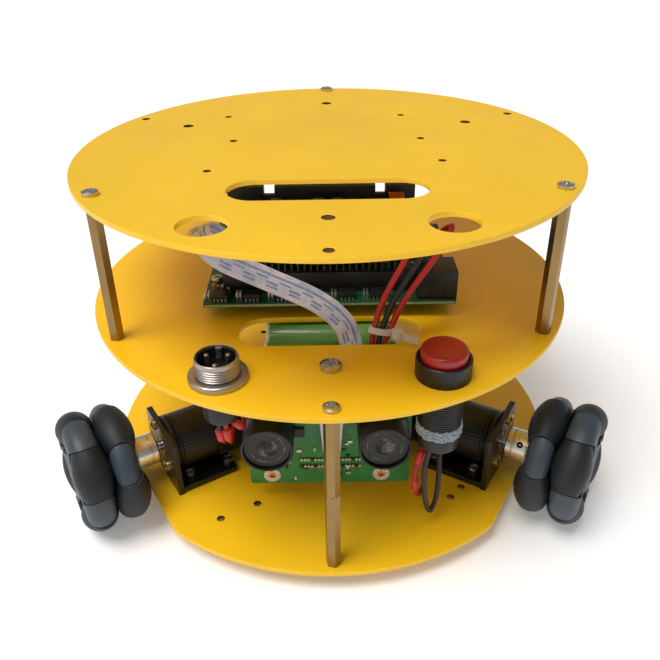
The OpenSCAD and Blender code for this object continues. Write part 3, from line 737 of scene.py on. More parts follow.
def make_decks():
    small = ((-44, 48), (33, 47), (-38, 12), (38, 12), (-44, -24), (43, -16))
    extra = [circle(1.5, 24, x, y) for x, y in small]
    round_deck("top_deck", TOP, TOP_TOP, round_holes(OPEN_M3_HOLE, OPEN_M4_HOLE), extra)
    extra = [circle(M3_HOLE, 24, x, y) for x, y in BOARD_HOLES]
    round_deck("middle_deck", MIDDLE, MIDDLE_TOP, round_holes(M3_HOLE, M4_HOLE), extra)
    corner = math.degrees(math.acos(FLAT_U / DECK_R))
    angles = {float(a) for a in range(0, 360)}
    for _, heading, _, _ in SIDES:
        angles |= {(heading - corner) % 360, (heading + corner) % 360}
    outline = []
    for a in sorted(angles):
        r = DECK_R
        for _, heading, _, _ in SIDES:
            c = math.cos(math.radians(a - heading))
            if c > 0.5:
                r = min(r, FLAT_U / c)
        outline.append(polar(r, a))
    holes = [circle(M3_HOLE, 24, x, y) for x, y in ring_points(EDGE_RING, LOWER)]
    for _, heading, _, _ in SIDES:
        spots = [(57.5, 37.7), (73.8, 37.7), (73.7, -19.3), (72, -27)]
        for u, v in spots + BRACKET_HOLES:
            p = turned(heading) @ Vector((u, v, 0))
            holes.append(circle(M3_HOLE, 24, p.x, p.y))
    bottom = Piece("bottom_deck_plate")
    bottom.add(plate(outline, holes, BOTTOM, FLOOR), DECK)
    line_holes(bottom, holes, BOTTOM, FLOOR)
    bottom.done(["bottom_deck"], "deck_paint")


# ------------------------------------------------------------------ standoffs and screws


def standoff(length):
    return prism(hexagon(5 / math.sqrt(3)), 0, length, 0.28, 2)


def make_standoffs():
    low = Piece("lower_standoff_bars")
    for a in LOWER:
        for i in (0, 1):
            place = turned(a) @ moved(EDGE_RING, 0, FLOOR + 35 * i) @ turned(12 + 6 * i)
            low.add(standoff(35), BRASS, place)
    low.done(["lower_standoffs"], "brass", 20)
    high = Piece("upper_standoff_bars")
    for a in UPPER:
        high.add(standoff(55), BRASS, turned(a) @ moved(EDGE_RING, 0, MIDDLE_TOP) @ turned(20))
    high.done(["upper_standoffs"], "brass", 20)


def screw(piece, place, r=2.9, h=2.0, shank=1.5, length=6.0, metal=STEEL):
    piece.add(domed_head(r, h), metal, place)
    piece.turn(metal, place, [(shank, -length), (shank, 0.01)], 20)


def make_screws():
    flip = Matrix.Rotation(math.pi, 4, "X")
    rng = random.Random(5)
    p = Piece("deck_screws")

    def spin():
        return turned(rng.uniform(0, 90))

    for x, y in ring_points(EDGE_RING, UPPER):
        screw(p, moved(x, y, TOP_TOP) @ spin())
        screw(p, moved(x, y, MIDDLE) @ flip @ spin())
    for x, y in ring_points(EDGE_RING, LOWER):
        screw(p, moved(x, y, MIDDLE_TOP) @ spin())
        screw(p, moved(x, y, BOTTOM) @ flip @ spin())
    for x, y in BOARD_HOLES:
        screw(p, moved(x, y, BOARD_TOP) @ spin(), length=10)
        p.add(nut(3.1, 2.4), STEEL, moved(x, y, MIDDLE - 2.4))
    screw(p, moved(0, HANGER_BOLT_Y, MIDDLE_TOP) @ spin(), 3.9, 2.6, 2.0, 5.0)
    p.add(nut(4, 3.2), STEEL, moved(0, HANGER_BOLT_Y, MIDDLE - 4.8) @ turned(10))
    for _, heading, sense, _ in SIDES:
        base = turned(heading)
        for u, v in BRACKET_HOLES:
            screw(p, base @ moved(u, v, FLOOR + 2.5) @ spin(), 2.4, 1.8, 1.5, 6)
            p.add(nut(3.1, 2.4), STEEL, base @ moved(u, v, BOTTOM - 2.4))
        for e in (-1, 1):
            spot = base @ moved(BRACKET_U, e * sense * 6.5, AXLE - e * 6.5) @ X_AXIS
            screw(p, spot @ spin(), 2.4, 1.8, 1.5, 4, FACE_BRASS)
    p.done(["deck_and_bracket_screws"], "steel")


# ------------------------------------------------------------------ motors and wheels


def make_bracket(side, heading, sense):
    p = Piece(f"{side}_bracket_plate")
    half, t = 16.5, 2.5
    face = rounded(rect(-half, half, FLOOR, FLOOR + 26), [0.4, 0.4, 1.8, 1.8], 5)
    holes = [circle(3.6, 40, 0, AXLE)]
    holes += [circle(M3_HOLE, 20, e * sense * 6.5, AXLE - e * 6.5) for e in (-1, 1)]
    base = turned(heading)
    p.add(plate(face, holes, BRACKET_U - t, BRACKET_U, 0.3), BRACKET, base @ ALONG_X)
    foot = rounded(rect(55, 82.2, -half, half), [2, 0, 0, 2], 5)
    holes = [circle(M3_HOLE, 20, u, v) for u, v in BRACKET_HOLES]
    p.add(plate(foot, holes, FLOOR, FLOOR + t, 0.3), BRACKET, base)
    # the inside of the bend
    curve = [(0, 0), (1.6, 0)]
    for a in (22.5, 45, 67.5, 90):
        bend = math.radians(a)
        curve.append((1.6 - 1.6 * math.sin(bend), 1.6 - 1.6 * math.cos(bend)))
    turn = Matrix(((-1, 0, 0, 81.2), (0, 0, 1, 0), (0, 1, 0, FLOOR + t - 0.1), (0, 0, 0, 1)))
    p.add(prism(curve, -half + 0.5, half - 0.5), BRACKET, base @ turn)
    p.done([f"{side}_motor_bracket"], "black_metal")


def ribbed(r_low, r_high, n):
    out = []
    for i in range(n):
        a = 360 / n * i
        for da, r in ((0.0, r_low), (0.22, r_high), (0.72, r_high), (0.94, r_low)):
            out.append(polar(r, a + da * 360 / n))
    return out


def make_motor(side, heading):
    p = Piece(f"{side}_gear_motor_body")
    base = turned(heading) @ moved(0, 0, AXLE) @ X_AXIS
    p.add(prism(ribbed(11.72, 11.85, 48), 62.8, 77.2, 0.2, 1), GEARBOX, base)
    front = [(0, 77.2), (11.6, 77.2), (12, 77.5), (12, 78.1), (11.8, 78.3)]
    p.turn(GEARBOX, base, [*front, (0, 78.3)], 96)
    rim = [(0, 78.3), (11.9, 78.3), (12, 78.4), (12, 79.1), (11.9, 79.2), (0, 79.2)]
    p.turn(CAN, base, rim, 96)
    nose = [(0, 79.2), (11.7, 79.2), (11.9, 79.4), (11.9, 80.7), (11.6, 81), (0, 81)]
    p.turn(GEARBOX, base, nose, 96)
    boss = [(0, 81), (3.5, 81), (3.5, 83.0), (3.3, 83.3), (2.1, 83.3), (2.05, 82), (0, 82)]
    p.turn(NICKEL, base, boss, 40)
    can = rounded([(0, 31), (11.9, 31), (11.9, 62), (11.3, 62), (11.3, 62.8), (0, 62.8)], 0.4, 3)
    p.turn(CAN, base, [q for q in can if q[0] >= 0], 96)
    for z in (34.2, 58.6):
        p.turn(CAN, base, rounded(rect(11.7, 11.95, z, z + 0.5), 0.1, 2), 96, True)
    cap = [(0, 29.4), (4, 29.4), (4, 30.6), (9.6, 30.6), (9.6, 31.4), (0, 31.4)]
    cap = rounded(cap, 0.3, 3, False)
    p.turn(ENDCAP, base, cap, 64)
    for v in (-7, 7):
        tab = box(27, v - 1.2, -0.3, 4.2, 2.4, 0.6, 0.1)
        p.add(tab, SOLDER, turned(heading) @ moved(0, 0, AXLE))
        blob = revolve([(0, -1.1), (0.8, -0.8), (1.1, 0), (0.8, 0.8), (0, 1.1)], 16)
        p.add(blob, SOLDER, turned(heading) @ moved(28.2, v, AXLE + 0.3))
    p.done([f"{side}_gear_motor"], "motor_steel")


def make_hub(side, heading, angle):
    """The coupler: turned steps, and a dark disc of painted shade for the set-screw hole in its
    side.
    """
    x0 = 86.2 - WHEEL_U
    profile = [(2.1, x0), (6.3, x0), (6.7, x0 + 0.4), (6.7, x0 + 2.6), (6.5, x0 + 2.8)]
    profile += [(6.5, x0 + 3.1), (6.7, x0 + 3.3), (6.7, -13.6), (6.55, -13.4), (6.55, -13.0)]
    profile += [(6.4, -12.65), (2.1, -12.65)]
    p = Piece(f"{side}_coupler")
    base = at_wheel(heading)
    p.turn(HUB, base @ X_AXIS, profile, 72, True)
    p.turn(HUB, base @ X_AXIS, [(0, -12.6), (3.9, -12.6), (3.9, 8.0), (3.6, 8.4), (0, 8.4)], 40)
    spot = base @ rolled(angle) @ moved(x0 + 6, 0, 0) @ Y_AXIS
    # a dark disc of painted shade for the set-screw hole
    p.turn(DARK_RECESS, spot, [(0, 6.2), (1.3, 6.2), (1.3, 6.69), (0.7, 6.72), (0, 6.66)], 24)
    p.done([f"{side}_drive_hub"], "hub_metal", body=f"{side}_wheel")


def row_phase(sense, row):
    return 45 + (10.5 - 22.5 * row) * sense


def roller_place(sense, k):
    row = 1 if k <= 4 else -1
    return rolled(row_phase(sense, row) + 90 * (k - 1)) @ moved(ROW_X * row, ROLLER_RING)


def blade(row):
    """One of a row's four blades, between two rollers, rounded like the wheel's rim."""
    side, outer, x0 = 10.5, 24.3, 1.05
    edge, x1 = (5.3, 12.55) if row == 1 else (4.5, 10.55)
    inner = side * math.sqrt(2) + 0.15
    line = [(x0, inner), (x0, (inner + outer - edge) / 2)]
    line += arc(x0 + edge, outer - edge, -edge, edge, range(0, 91, 10))
    line += arc(x1 - edge, outer - edge, edge, edge, range(90, -1, -10))
    line += [(x1, (inner + outer - edge) / 2), (x1, inner)]
    bm = bmesh.new()
    rows = []
    parts = 14
    for x, r in line:
        start = math.asin(side / r)
        stop = math.pi / 2 - start
        ring = []
        for k in range(parts + 1):
            a = start + (stop - start) * k / parts
            ring.append(bm.verts.new((x * row, r * math.cos(a), r * math.sin(a))))
        rows.append(ring)
    for a, b in zip(rows, rows[1:]):
        for k in range(parts):
            bm.faces.new([a[k], a[k + 1], b[k + 1], b[k]])
    caps = [bm.faces.new([r[0] for r in rows]), bm.faces.new([r[-1] for r in rows][::-1])]
    bm.faces.new(rows[0] + rows[-1][::-1])
    edges = {e for f in caps for e in f.edges}
    outward(bm)
    return bevel_all(bm, 0.55, edges, 3)


def make_wheel(side, heading, sense):
    p = Piece(f"{side}_wheel_body")
    base = at_wheel(heading)
    for row in (1, -1):
        phase = row_phase(sense, row)
        for k in range(4):
            p.add(blade(row), WHEEL_GREY, base @ rolled(phase + 90 * k))
        corner = [(10.1, 7.4), (11.3, 7.4), (11.3, 11.3), (7.4, 11.3), (7.4, 10.1)]
        core = []
        for q in range(4):
            c, d = ((1, 0), (0, 1), (-1, 0), (0, -1))[q]
            core += [(a * c - b * d, a * d + b * c) for a, b in corner]
        core = rounded(core, 0.3, 2)
        x0, x1 = (0.9, 12.4) if row == 1 else (-10.5, -0.9)
        p.add(prism(core, x0, x1, 0.4), WHEEL_GREY, base @ rolled(phase) @ ALONG_X)
        x = 12.0 * row
        ring = [(7.0, x), (9.9, x), (9.9, x + 0.5 * row), (9.4, x + 0.6 * row)]
        ring += [(7.4, x + 0.6 * row), (7.0, x + 0.3 * row)]
        p.turn(WHEEL_GREY, base @ X_AXIS, ring, 64, True)
        for k in range(8):
            rib = box(-0.45, 7.4, min(x, x + 0.6 * row), 0.9, 2.3, 0.6, 0.1)
            p.add(rib, WHEEL_GREY, base @ rolled(phase + 45 * k) @ ALONG_X)
    p.turn(WHEEL_GREY, base @ X_AXIS, rect(0, 9.98, -12.1, 1.0), 64)
    p.done([f"{side}_wheel_frame"], "wheel_plastic", 40, body=f"{side}_wheel")
    q = Piece(f"{side}_wheel_pins")
    for k in range(1, ROLLERS + 1):
        spot = base @ roller_place(sense, k)
        profile = [(0, -13.2), (0.9, -13.2), (1, -13.1), (1, 13.1), (0.9, 13.2), (0, 13.2)]
        q.turn(STEEL, spot, profile, 16)
    washer = rounded(rect(1.6, 5.8, 8.5, 9.0), 0.12, 2)
    q.turn(STEEL, base @ X_AXIS, washer, 48, True)
    q.add(domed_head(2.9, 2.0), STEEL, base @ moved(9.0) @ X_AXIS)
    q.done([f"{side}_wheel_fasteners"], "steel", body=f"{side}_wheel")


def barrel():
    """Half-outline of a roller, with softened shoulders and recessed ends."""
    reach = 10.1
    line = []
    for i in range(25):
        z = -reach + 2 * reach * i / 24
        line.append((math.sqrt(WHEEL_R * WHEEL_R - z * z) - ROLLER_RING, z))
    start, stop = line[0][0], line[-1][0]
    low = [(1.1, -9.7), (2.6, -9.7), (2.8, -10.15), (start - 0.5, -10.2), (start - 0.12, -10.16)]
    high = [(stop - 0.12, 10.16), (stop - 0.5, 10.2), (2.8, 10.15), (2.6, 9.7), (1.1, 9.7)]
    return [*low, *line, *high]


def make_rollers(side, heading, sense):
    base = at_wheel(heading)
    for k in range(1, ROLLERS + 1):
        spot = base @ roller_place(sense, k)
        p = Piece(f"{side}_barrel_{k}")
        p.turn(ROLLER, spot, barrel(), 64, True)
        for z in (-9.9, 9.9):
            sleeve = rounded(rect(1.07, 2.4, z - 0.25, z + 0.25), 0.08, 2)
            p.turn(SLEEVE, spot, sleeve, 32, True)
        p.done([f"{side}_roller_{k}"], "roller_rubber", 40, body=f"{side}_roller_{k}")


# ------------------------------------------------------------------ boards


def pin(piece, x, y, z0, z1, metal=PINS, half=0.32):
    piece.block(metal, x - half, y - half, z0, 2 * half, 2 * half, z1 - z0, 0.08)


def header(piece, x0, x1, y, z0, h, w):
    """A strip socket, its contact openings drawn as dark squares of painted shade."""
    piece.block(HEADER, x0, y, z0, x1 - x0, w, h, 0.12)
    count = int((x1 - x0) / PITCH)
    for i in range(count):
        x = x0 + (x1 - x0 - (count - 1) * PITCH) / 2 + i * PITCH
        piece.block(DARK_RECESS, x - 0.45, y + w / 2 - 0.45, z0 + h - 0.02, 0.9, 0.9, 0.04, 0)


def chip(piece, x, y, z, w, d, h=1.6, legs=6):
    piece.block(CHIP, x - w / 2, y - d / 2, z + 0.15, w, d, h, 0.12)
    dot = revolve(rect(0, 0.5, 0, 0.03), 16)
    piece.add(dot, SEALER, moved(x - w / 2 + 1.1, y - d / 2 + 1.1, z + h + 0.14))
    for i in range(legs):
        px = x - w / 2 + w * (i + 0.5) / legs
        for sign in (-1, 1):
            y0 = y + sign * d / 2 - (0 if sign > 0 else 1.1)
            piece.block(PINS, px - 0.2, y0, z, 0.4, 1.1, 0.55, 0.05)


def board(piece, x0, x1, y0, y1, z0, holes):
    outline = rounded(rect(x0, x1, y0, y1), 1.2, 4)
    cuts = [circle(M3_HOLE, 28, x, y) for x, y in holes]
    piece.add(plate(outline, cuts, z0, z0 + 1.6, 0.08), BOARD)
    for x, y in holes:
        ring = rect(1.65, 2.9, 1.6, 1.64)
        piece.turn(SOLDER, moved(x, y, z0), ring, 32, True)


def small_part(piece, rng, x, y, z):
    """A tiny part of a chance size with one tinned end."""
    w, d = rng.choice(PART_SIZES)
    piece.block(rng.choice((CHIP, SEALER, ENDCAP)), x, y, z, w, d, 0.6, 0.06)
    piece.block(SOLDER, x, y, z, w * 0.22, d, 0.63, 0.05)


def make_controller():
    p = Piece("controller_board_assembly")
    board(p, -49.5, 49.5, BOARD_FRONT, BOARD_FRONT + 60, BOARD_Z, BOARD_HOLES)
    # bare laminate along the board's front edge
    p.block(SEALER, -48.6, BOARD_FRONT - 0.03, BOARD_Z + 0.35, 97.2, 0.1, 0.9, 0)
    rng = random.Random(11)
    z = BOARD_TOP
    for i in range(6):
        x = -49.5 + 12.4 * (i + 0.5)
        y = BOARD_FRONT + 2
        p.block(HEADER, x - 2.6, y, z, 6.4, 5, 2.8, 0.2)
        for dx in (-5.2, -3.9):
            pin(p, x + dx, y + 1.4, z - 0.6, z + 3.1, SOLDER, 0.36)
            pin(p, x + dx, y + 3.8, z - 0.6, z + 2.9, SOLDER, 0.36)
        for k in range(4):
            pin(p, x - 1.6 + k * 1.5, y - 0.55, z - 0.01, z + 1.3, SOLDER, 0.22)
    for y in (BOARD_FRONT + 9, BOARD_FRONT + 44):
        header(p, -42, 34, y, z, 8.5, 2.6)
        # the pins between the two boards take the darker copy, painted shade
        for i in range(29):
            pin(p, -40.1 + PITCH * i, y + 1.3, z + 8.4, EXPANSION + 0.2, SHADED_PIN, 0.3)
    # coils and small parts at the front left
    for i in range(5):
        x = -46.5 + i * 1.9 + rng.uniform(-0.2, 0.2)
        y = BOARD_FRONT + 8.2 + rng.uniform(0, 1.4)
        kind = (LED_BODY, COPPER, SOLDER)[i % 3]
        p.block(kind, x, y, z, 1.3, 1.3, 2.3 + rng.uniform(0, 1.6), 0.25)
    for _ in range(70):
        x = rng.uniform(-47, 38)
        y = rng.choice((rng.uniform(BOARD_FRONT + 8.2, BOARD_FRONT + 15), rng.uniform(-16, 8)))
        if -36.5 < y + 11 < -32 or abs(y - BOARD_FRONT - 10) < 2.2:
            continue
        small_part(p, rng, x, y, z)
    chip(p, -33.5, BOARD_FRONT + 23, z, 13, 13, 2.1, 9)
    chip(p, 6, BOARD_FRONT + 24, z, 12, 8, 2.0, 8)
    chip(p, 19, BOARD_FRONT + 24, z, 8, 8, 3.2, 5)
    # tall terminal block on the right
    x0, y0 = 34.1, BOARD_FRONT + 1.5
    p.block(BLACK, x0, y0, z, 15.4, 14, 11.5, 0.4)
    for k in range(3):
        x = x0 + 2.6 + 5.1 * k
        # a thin dark sheet for each wire opening: painted shade
        p.block(HEADER, x - 1.7, y0 - 0.04, z + 1.2, 3.4, 0.1, 3.6, 0)
        head = revolve([(0, 0), (1.5, 0), (1.5, 0.2), (0, 0.3)], 20)
        p.add(head, CHIP, moved(x, y0 + 5, z + 11.3))
    p.done(["controller_board"], "circuit_board")


def make_expansion():
    p = Piece("expansion_board_assembly")
    z = EXPANSION_TOP
    board(p, -46, 40, BOARD_FRONT + 6, BOARD_FRONT + 62, EXPANSION, [])
    for y in (BOARD_FRONT + 9, BOARD_FRONT + 44):
        p.block(HEADER, -42, y + 0.05, EXPANSION - 2.5, 76, 2.5, 2.5, 0.1)
        for i in range(29):
            blob = revolve([(0, 0.75), (0.45, 0.6), (0.8, 0)], 10)
            p.add(blob, SOLDER, moved(-40.1 + PITCH * i, y + 1.3, z))
    for x, w in ((-36, 16), (-1.3, 44), (31.5, 13)):
        header(p, x - w / 2, x + w / 2, BOARD_FRONT + 56, z, 9.5, 5)
    p.block(HEADER, -44, BOARD_FRONT + 57.2, z, 81.5, 2.8, 5.2, 0.2)
    p.block(HEADER, -42, BOARD_FRONT + 7, z, 16, 6, 8, 0.4)
    # the socket opening on top, a dark sheet of painted shade
    p.block(DARK_RECESS, -40.6, BOARD_FRONT + 8.2, z + 7.98, 13.2, 3.6, 0.05, 0)
    p.block(BLACK, 20, BOARD_FRONT + 7, z, 20, 8, 9, 0.4)
    for k in range(4):
        x = 22.5 + 5 * k
        head = revolve([(0, 0), (1.5, 0), (1.5, 0.3), (0, 0.45)], 20)
        p.add(head, PINS, moved(x, BOARD_FRONT + 11.5, z + 8.8))
    rng = random.Random(23)
    for _ in range(60):
        x, y = rng.uniform(-43, 36), rng.uniform(-8, 6)
        small_part(p, rng, x, y, z)
    chip(p, -12, -14, z, 20, 7.5, 3.0, 10)
    chip(p, -33, -13, z, 9, 7, 2.0, 6)
    chip(p, 12, -13, z, 10, 8, 2.2, 6)
    coil = [
        (29.5 + 0.16 * (i - 20), 17 + 2.4 * math.cos(0.9 * i), z + 5.2 + 2.4 * math.sin(0.9 * i))
        for i in range(40)
    ]
    p.add(tube(coil, 0.45, 2, 8), COPPER)
    p.block(CHIP, 25.8, 15, z, 7.4, 4, 2.8, 0.3)
    for x in (-22, -4, 4):
        can = rounded(rect(0, 2.6, 0, 6.5), [0, 0.4, 0.4, 0], 3)
        p.turn(CAN, moved(x, 12, z), can, 32)
    p.done(["expansion_board"], "circuit_board")
    q = Piece("board_spacer_tubes")
    for x, y in BOARD_HOLES:
        ring = rounded(rect(1.6, 3, 0, 5.5), 0.2, 2)
        q.turn(NYLON, moved(x, y, MIDDLE_TOP), ring, 32, True)
    q.done(["board_spacers"], "nylon")


def make_battery():
    """Cells under shrink film: the outline follows five cells, and dips between them."""
    p = Piece("battery_block")
    cell, step, y0, z0 = 7.2, 14.4, -47.4, MIDDLE - 1.2 - 21.6
    outline = []
    for i in range(5):
        outline += arc(y0 + step * i, z0 + step, cell, cell, range(150, 29, -10))
    last = y0 + 57.6
    outline += [(last + cell, z0 + step - 0.5), (last + cell - 0.9, z0 + 7.2)]
    outline.append((last + cell, z0 + 0.5))
    for i in range(4, -1, -1):
        outline += arc(y0 + step * i, z0, cell, cell, range(-30, -151, -10))
    outline += [(y0 - cell, z0 + 0.5), (y0 - cell + 0.9, z0 + 7.2), (y0 - cell, z0 + 13.9)]
    p.add(prism(outline, -24.1, 25.2, 0.7, 3), WRAP, ALONG_X)
    p.add(prism(outline, -25.2, -23.9, 0.25), CELL_END, ALONG_X)
    for x in (-25.24, 25.24):
        for i in range(5):
            for j in (0, 1):
                disc = revolve(rect(0, 5.6, -0.02, 0.02), 40)
                spot = moved(x, y0 + step * i, z0 + step * j) @ X_AXIS
                p.add(disc, CELL_END, spot)
    p.block(FOAM, -20, 0, MIDDLE - 1.25, 40, 10, 1.24, 0.1)
    p.done(["battery_pack"], "battery_wrap")


# ------------------------------------------------------------------ panel parts


def make_socket():
    p = Piece("charge_socket_metal")
    top = MIDDLE_TOP + 9.2
    base = moved(-PANEL_X, PANEL_Y)
    flange = rounded(rect(7.5, 10, MIDDLE_TOP, MIDDLE_TOP + 1.8), 0.35, 3)
    p.turn(NICKEL, base, flange, 96, True)
    shell = [(7.0, MIDDLE - 5.9), (7.7, MIDDLE - 5.9), (7.9, MIDDLE - 5.6), (7.9, MIDDLE_TOP + 2)]
    z = MIDDLE_TOP + 2.4
    while z < top - 1.6:
        shell += [(7.45, z), (7.9, z + 0.4), (7.9, z + 0.55)]
        z += 0.95
    shell += [(7.6, top - 0.9), (7.6, top - 0.25), (7.35, top), (7.1, top - 0.12), (7.0, top - 0.5)]
    p.turn(NICKEL, base, shell, 96, True)
    ring = circle(7.9, 64)[::-1]
    p.add(plate(hexagon(11, 12), [ring], MIDDLE - 2.6, MIDDLE, 0.2), NICKEL, base)
    profile = [(0, top - 9), (7, top - 9), (7, top - 5.1), (6.8, top - 5), (0, top - 5)]
    p.turn(BLACK, base, profile, 64)
    profile = [(6.3, top - 5), (7.0, top - 5), (7.0, top - 0.9), (6.6, top - 0.9)]
    p.turn(BLACK, base, profile, 64, True)
    key = box(-1.1, 5.6, top - 5, 2.2, 1.4, 4.3, 0.25)
    p.add(key, NICKEL, base)
    for a in (30, 150, 270):
        x, y = polar(4.3, a)
        tip = [(0, 0), (1, 0), (1, 3.7), (0.85, 4.1), (0.5, 4.35), (0, 4.4)]
        p.turn(PINS, base @ moved(x, y, top - 5), tip, 24)
    body = rounded(rect(0, 6, MIDDLE - 14, MIDDLE - 6), [0, 0.5, 0.2, 0], 3)
    p.turn(BLACK, base, body, 48)
    for dx, dy in ((1.4, 0.0), (-1.0, 0.0)):
        spot = base @ moved(dx, dy, MIDDLE - 16.6)
        p.turn(SOLDER, spot, rect(0, 0.9, 0, 2.7), 16)
    p.done(["charge_socket"], "plated_metal")


def make_button():
    p = Piece("button_housing_shell")
    base = moved(PANEL_X, PANEL_Y)
    collar = [(8.55, MIDDLE_TOP + 2), (8.55, MIDDLE_TOP + 7.2), (8.8, MIDDLE_TOP + 7.5)]
    collar += [(9.5, MIDDLE_TOP + 7.5), (9.8, MIDDLE_TOP + 7.25), (9.9, MIDDLE_TOP + 6.9)]
    collar += [(9.9, MIDDLE_TOP + 0.3), (9.7, MIDDLE_TOP)]
    collar += [(3.06, MIDDLE_TOP), (3.06, MIDDLE_TOP + 2)]
    p.turn(COLLAR, base, collar, 96, True)
    z = MIDDLE - 20
    barrel_line = [(0, z), (7.6, z), (7.9, z + 0.3)]
    while z < MIDDLE - 1.2:
        barrel_line += [(7.9, z + 0.6), (7.55, z + 0.8), (7.9, z + 1.0)]
        z += 1.0
    barrel_line += [(7.9, MIDDLE_TOP), (0, MIDDLE_TOP)]
    p.turn(BLACK, base, barrel_line, 72)
    p.turn(BLACK, base, rounded(rect(0, 7, MIDDLE - 28, MIDDLE - 20), [0, 0.6, 0.2, 0], 3), 64)
    p.add(plate(hexagon(10.4, 8), [circle(7.9, 64)[::-1]], MIDDLE - 2.6, MIDDLE, 0.25), BLACK, base)
    rng = random.Random(3)
    for level in range(5):
        glue = []
        for i in range(61):
            a = math.radians(150 + 240 * i / 60)
            r = 7.7 + rng.uniform(-0.2, 0.35)
            z = MIDDLE - 21.6 + 0.85 * level + rng.uniform(-0.35, 0.35)
            glue.append((r * math.cos(a), r * math.sin(a), z))
        p.add(tube(glue, 0.55, 2, 8), GLUE, base)
    p.done(["power_button_housing"], "black_plastic")
    q = Piece("button_cap_moulding")
    z = MIDDLE_TOP + 4.5
    cap = [(0, z), (8.1, z), (8.3, z + 0.2), (8.3, z + 5.3)]
    cap += arc(6.9, z + 5.3, 1.4, 1.4, range(15, 91, 15))
    cap += [(5.6, z + 6.62), (4.0, z + 6.52), (0, z + 6.46)]
    q.turn(RED, base, cap, 96)
    q.turn(RED, base, [(0, z - 8), (2.8, z - 8), (3, z - 7.8), (3, z), (0, z)], 32)
    q.done(["power_button_cap"], "red_plastic", body="power_button")


# ------------------------------------------------------------------ sensor


def dot_ring():
    return revolve([(0, 0), (0.45, 0), (0.35, 0.25), (0, 0.3)], 8)


def make_sensor():
    p = Piece("sensor_board_assembly")
    y = SENSOR_Y
    stand = Matrix(((1, 0, 0, 0), (0, 0, 1, 0), (0, 1, 0, 0), (0, 0, 0, 1)))
    outline = rounded(rect(-33, 31, 19.2, 61), 1.0, 4)
    holes = [circle(1.5, 24, x, SENSOR_HOLE_Z) for x in TRANSDUCERS]
    p.add(plate(outline, holes, y, y + 1.6, 0.08), SENSOR_BOARD, stand)
    flip = rolled(90)
    for x in TRANSDUCERS:
        ring = [(1.5, 0), (3.4, 0), (3.4, 0.12), (2.6, 0.3), (1.5, 0.2)]
        p.turn(PAD, moved(x, y, SENSOR_HOLE_Z) @ flip, ring, 32, True)
        for i in range(9):
            a = math.radians(40 * i + 15)
            drop = revolve([(0, 0.45), (0.5, 0.3), (0.75, 0)], 12)
            spot = moved(x + 2.5 * math.cos(a), y, SENSOR_HOLE_Z + 2.5 * math.sin(a)) @ flip
            p.add(drop, SOLDER, spot)
        p.add(domed_head(1.5, 0.8), COPPER, moved(x, y + 0.2, SENSOR_HOLE_Z) @ flip)
    rng = random.Random(7)
    for _ in range(60):
        x, z = rng.uniform(-31, 29), rng.uniform(21, 59)
        if min(abs(x - t) for t in TRANSDUCERS) < 5 and z < 36:
            continue
        w, h = rng.choice(PART_SIZES)
        kind = rng.choice((CHIP, SEALER, ENDCAP, SOLDER))
        p.block(kind, x, y - 0.55, z, w, 0.55, h, 0.05)
    for x, z, w, h in ((-13, 44, 5, 4), (9, 50, 6, 5), (0, 52, 9, 6)):
        p.block(CHIP, x - w / 2, y - 1.4, z, w, 1.4, h, 0.15)
    for i in range(18):
        for z in (28.0, 31.4):
            dot = revolve([(0, 0), (0.75, 0), (0.55, 0.5), (0, 0.6)], 10)
            metal = (SOLDER, CHIP)[(i * 3 + int(z)) % 4 == 0]
            p.add(dot, metal, moved(-12 + 1.36 * i, y, z) @ flip)
            p.add(dot_ring(), CHIP, moved(-12.6 + 1.36 * i, y, z + 0.9) @ flip)
    p.block(NYLON, 2, y + 1.6, 36, 12, 4, 6, 0.3)
    p.done(["sensor_board"], "circuit_board")
    q = Piece("sensor_cans")
    for x in TRANSDUCERS:
        base = moved(x, SENSOR_Y, TRANSDUCER_Z) @ rolled(90)
        can = [(0, 0), (9.6, 0), (9.9, 0.3), (9.9, 1.6), (9.6, 1.9), (9.6, 2.2), (9.9, 2.5)]
        can += [(9.9, 13.3), (9.75, 13.8), (9.4, 14), (9.0, 13.85), (8.8, 13.4)]
        can += [(8.8, 11.6), (0, 11.6)]
        q.turn(BLACK, base, can, 80)
        flare = [(8.75, 11.5), (8.6, 12.4), (6.9, 12.1)]
        q.turn(BLACK, base, flare, 64)
        cone = [(6.95, 11.9), (6.7, 12.15), (4.6, 11.8), (3.4, 12.3), (2.0, 13.0), (0, 13.2)]
        q.turn(GRILLE, base, cone, 64)
    q.done(["sensor_transducers"], "transducer_can")
    r = Piece("sensor_hanger_strip")
    y1, t = STRIP_Y, 1.6
    tab = rounded(rect(-6.5, 6.5, -74.5, y1 + 0.02), [1.5, 1.5, 0, 0], 4)
    r.add(plate(tab, [circle(2.15, 28, 0, HANGER_BOLT_Y)], MIDDLE - t, MIDDLE, 0.15), HANGER)
    leg = rounded(rect(-6.5, 6.5, 34.6, MIDDLE - 0.02), [4, 4, 0, 0], 6)
    r.add(plate(leg, [], y1 - t, y1, 0.15), HANGER, stand)
    for z in (40.6, 58):
        boss = revolve(rect(0, 2.5, y1 - 0.01, SENSOR_Y), 32)
        r.add(boss, HANGER, moved(0, 0, z) @ Y_AXIS)
        flip = rolled(90)
        r.add(domed_head(2.6, 1.4), STEEL, moved(0, y1 - t, z) @ flip)
    r.done(["sensor_hanger"], "bare_aluminium")


# ------------------------------------------------------------------ cables

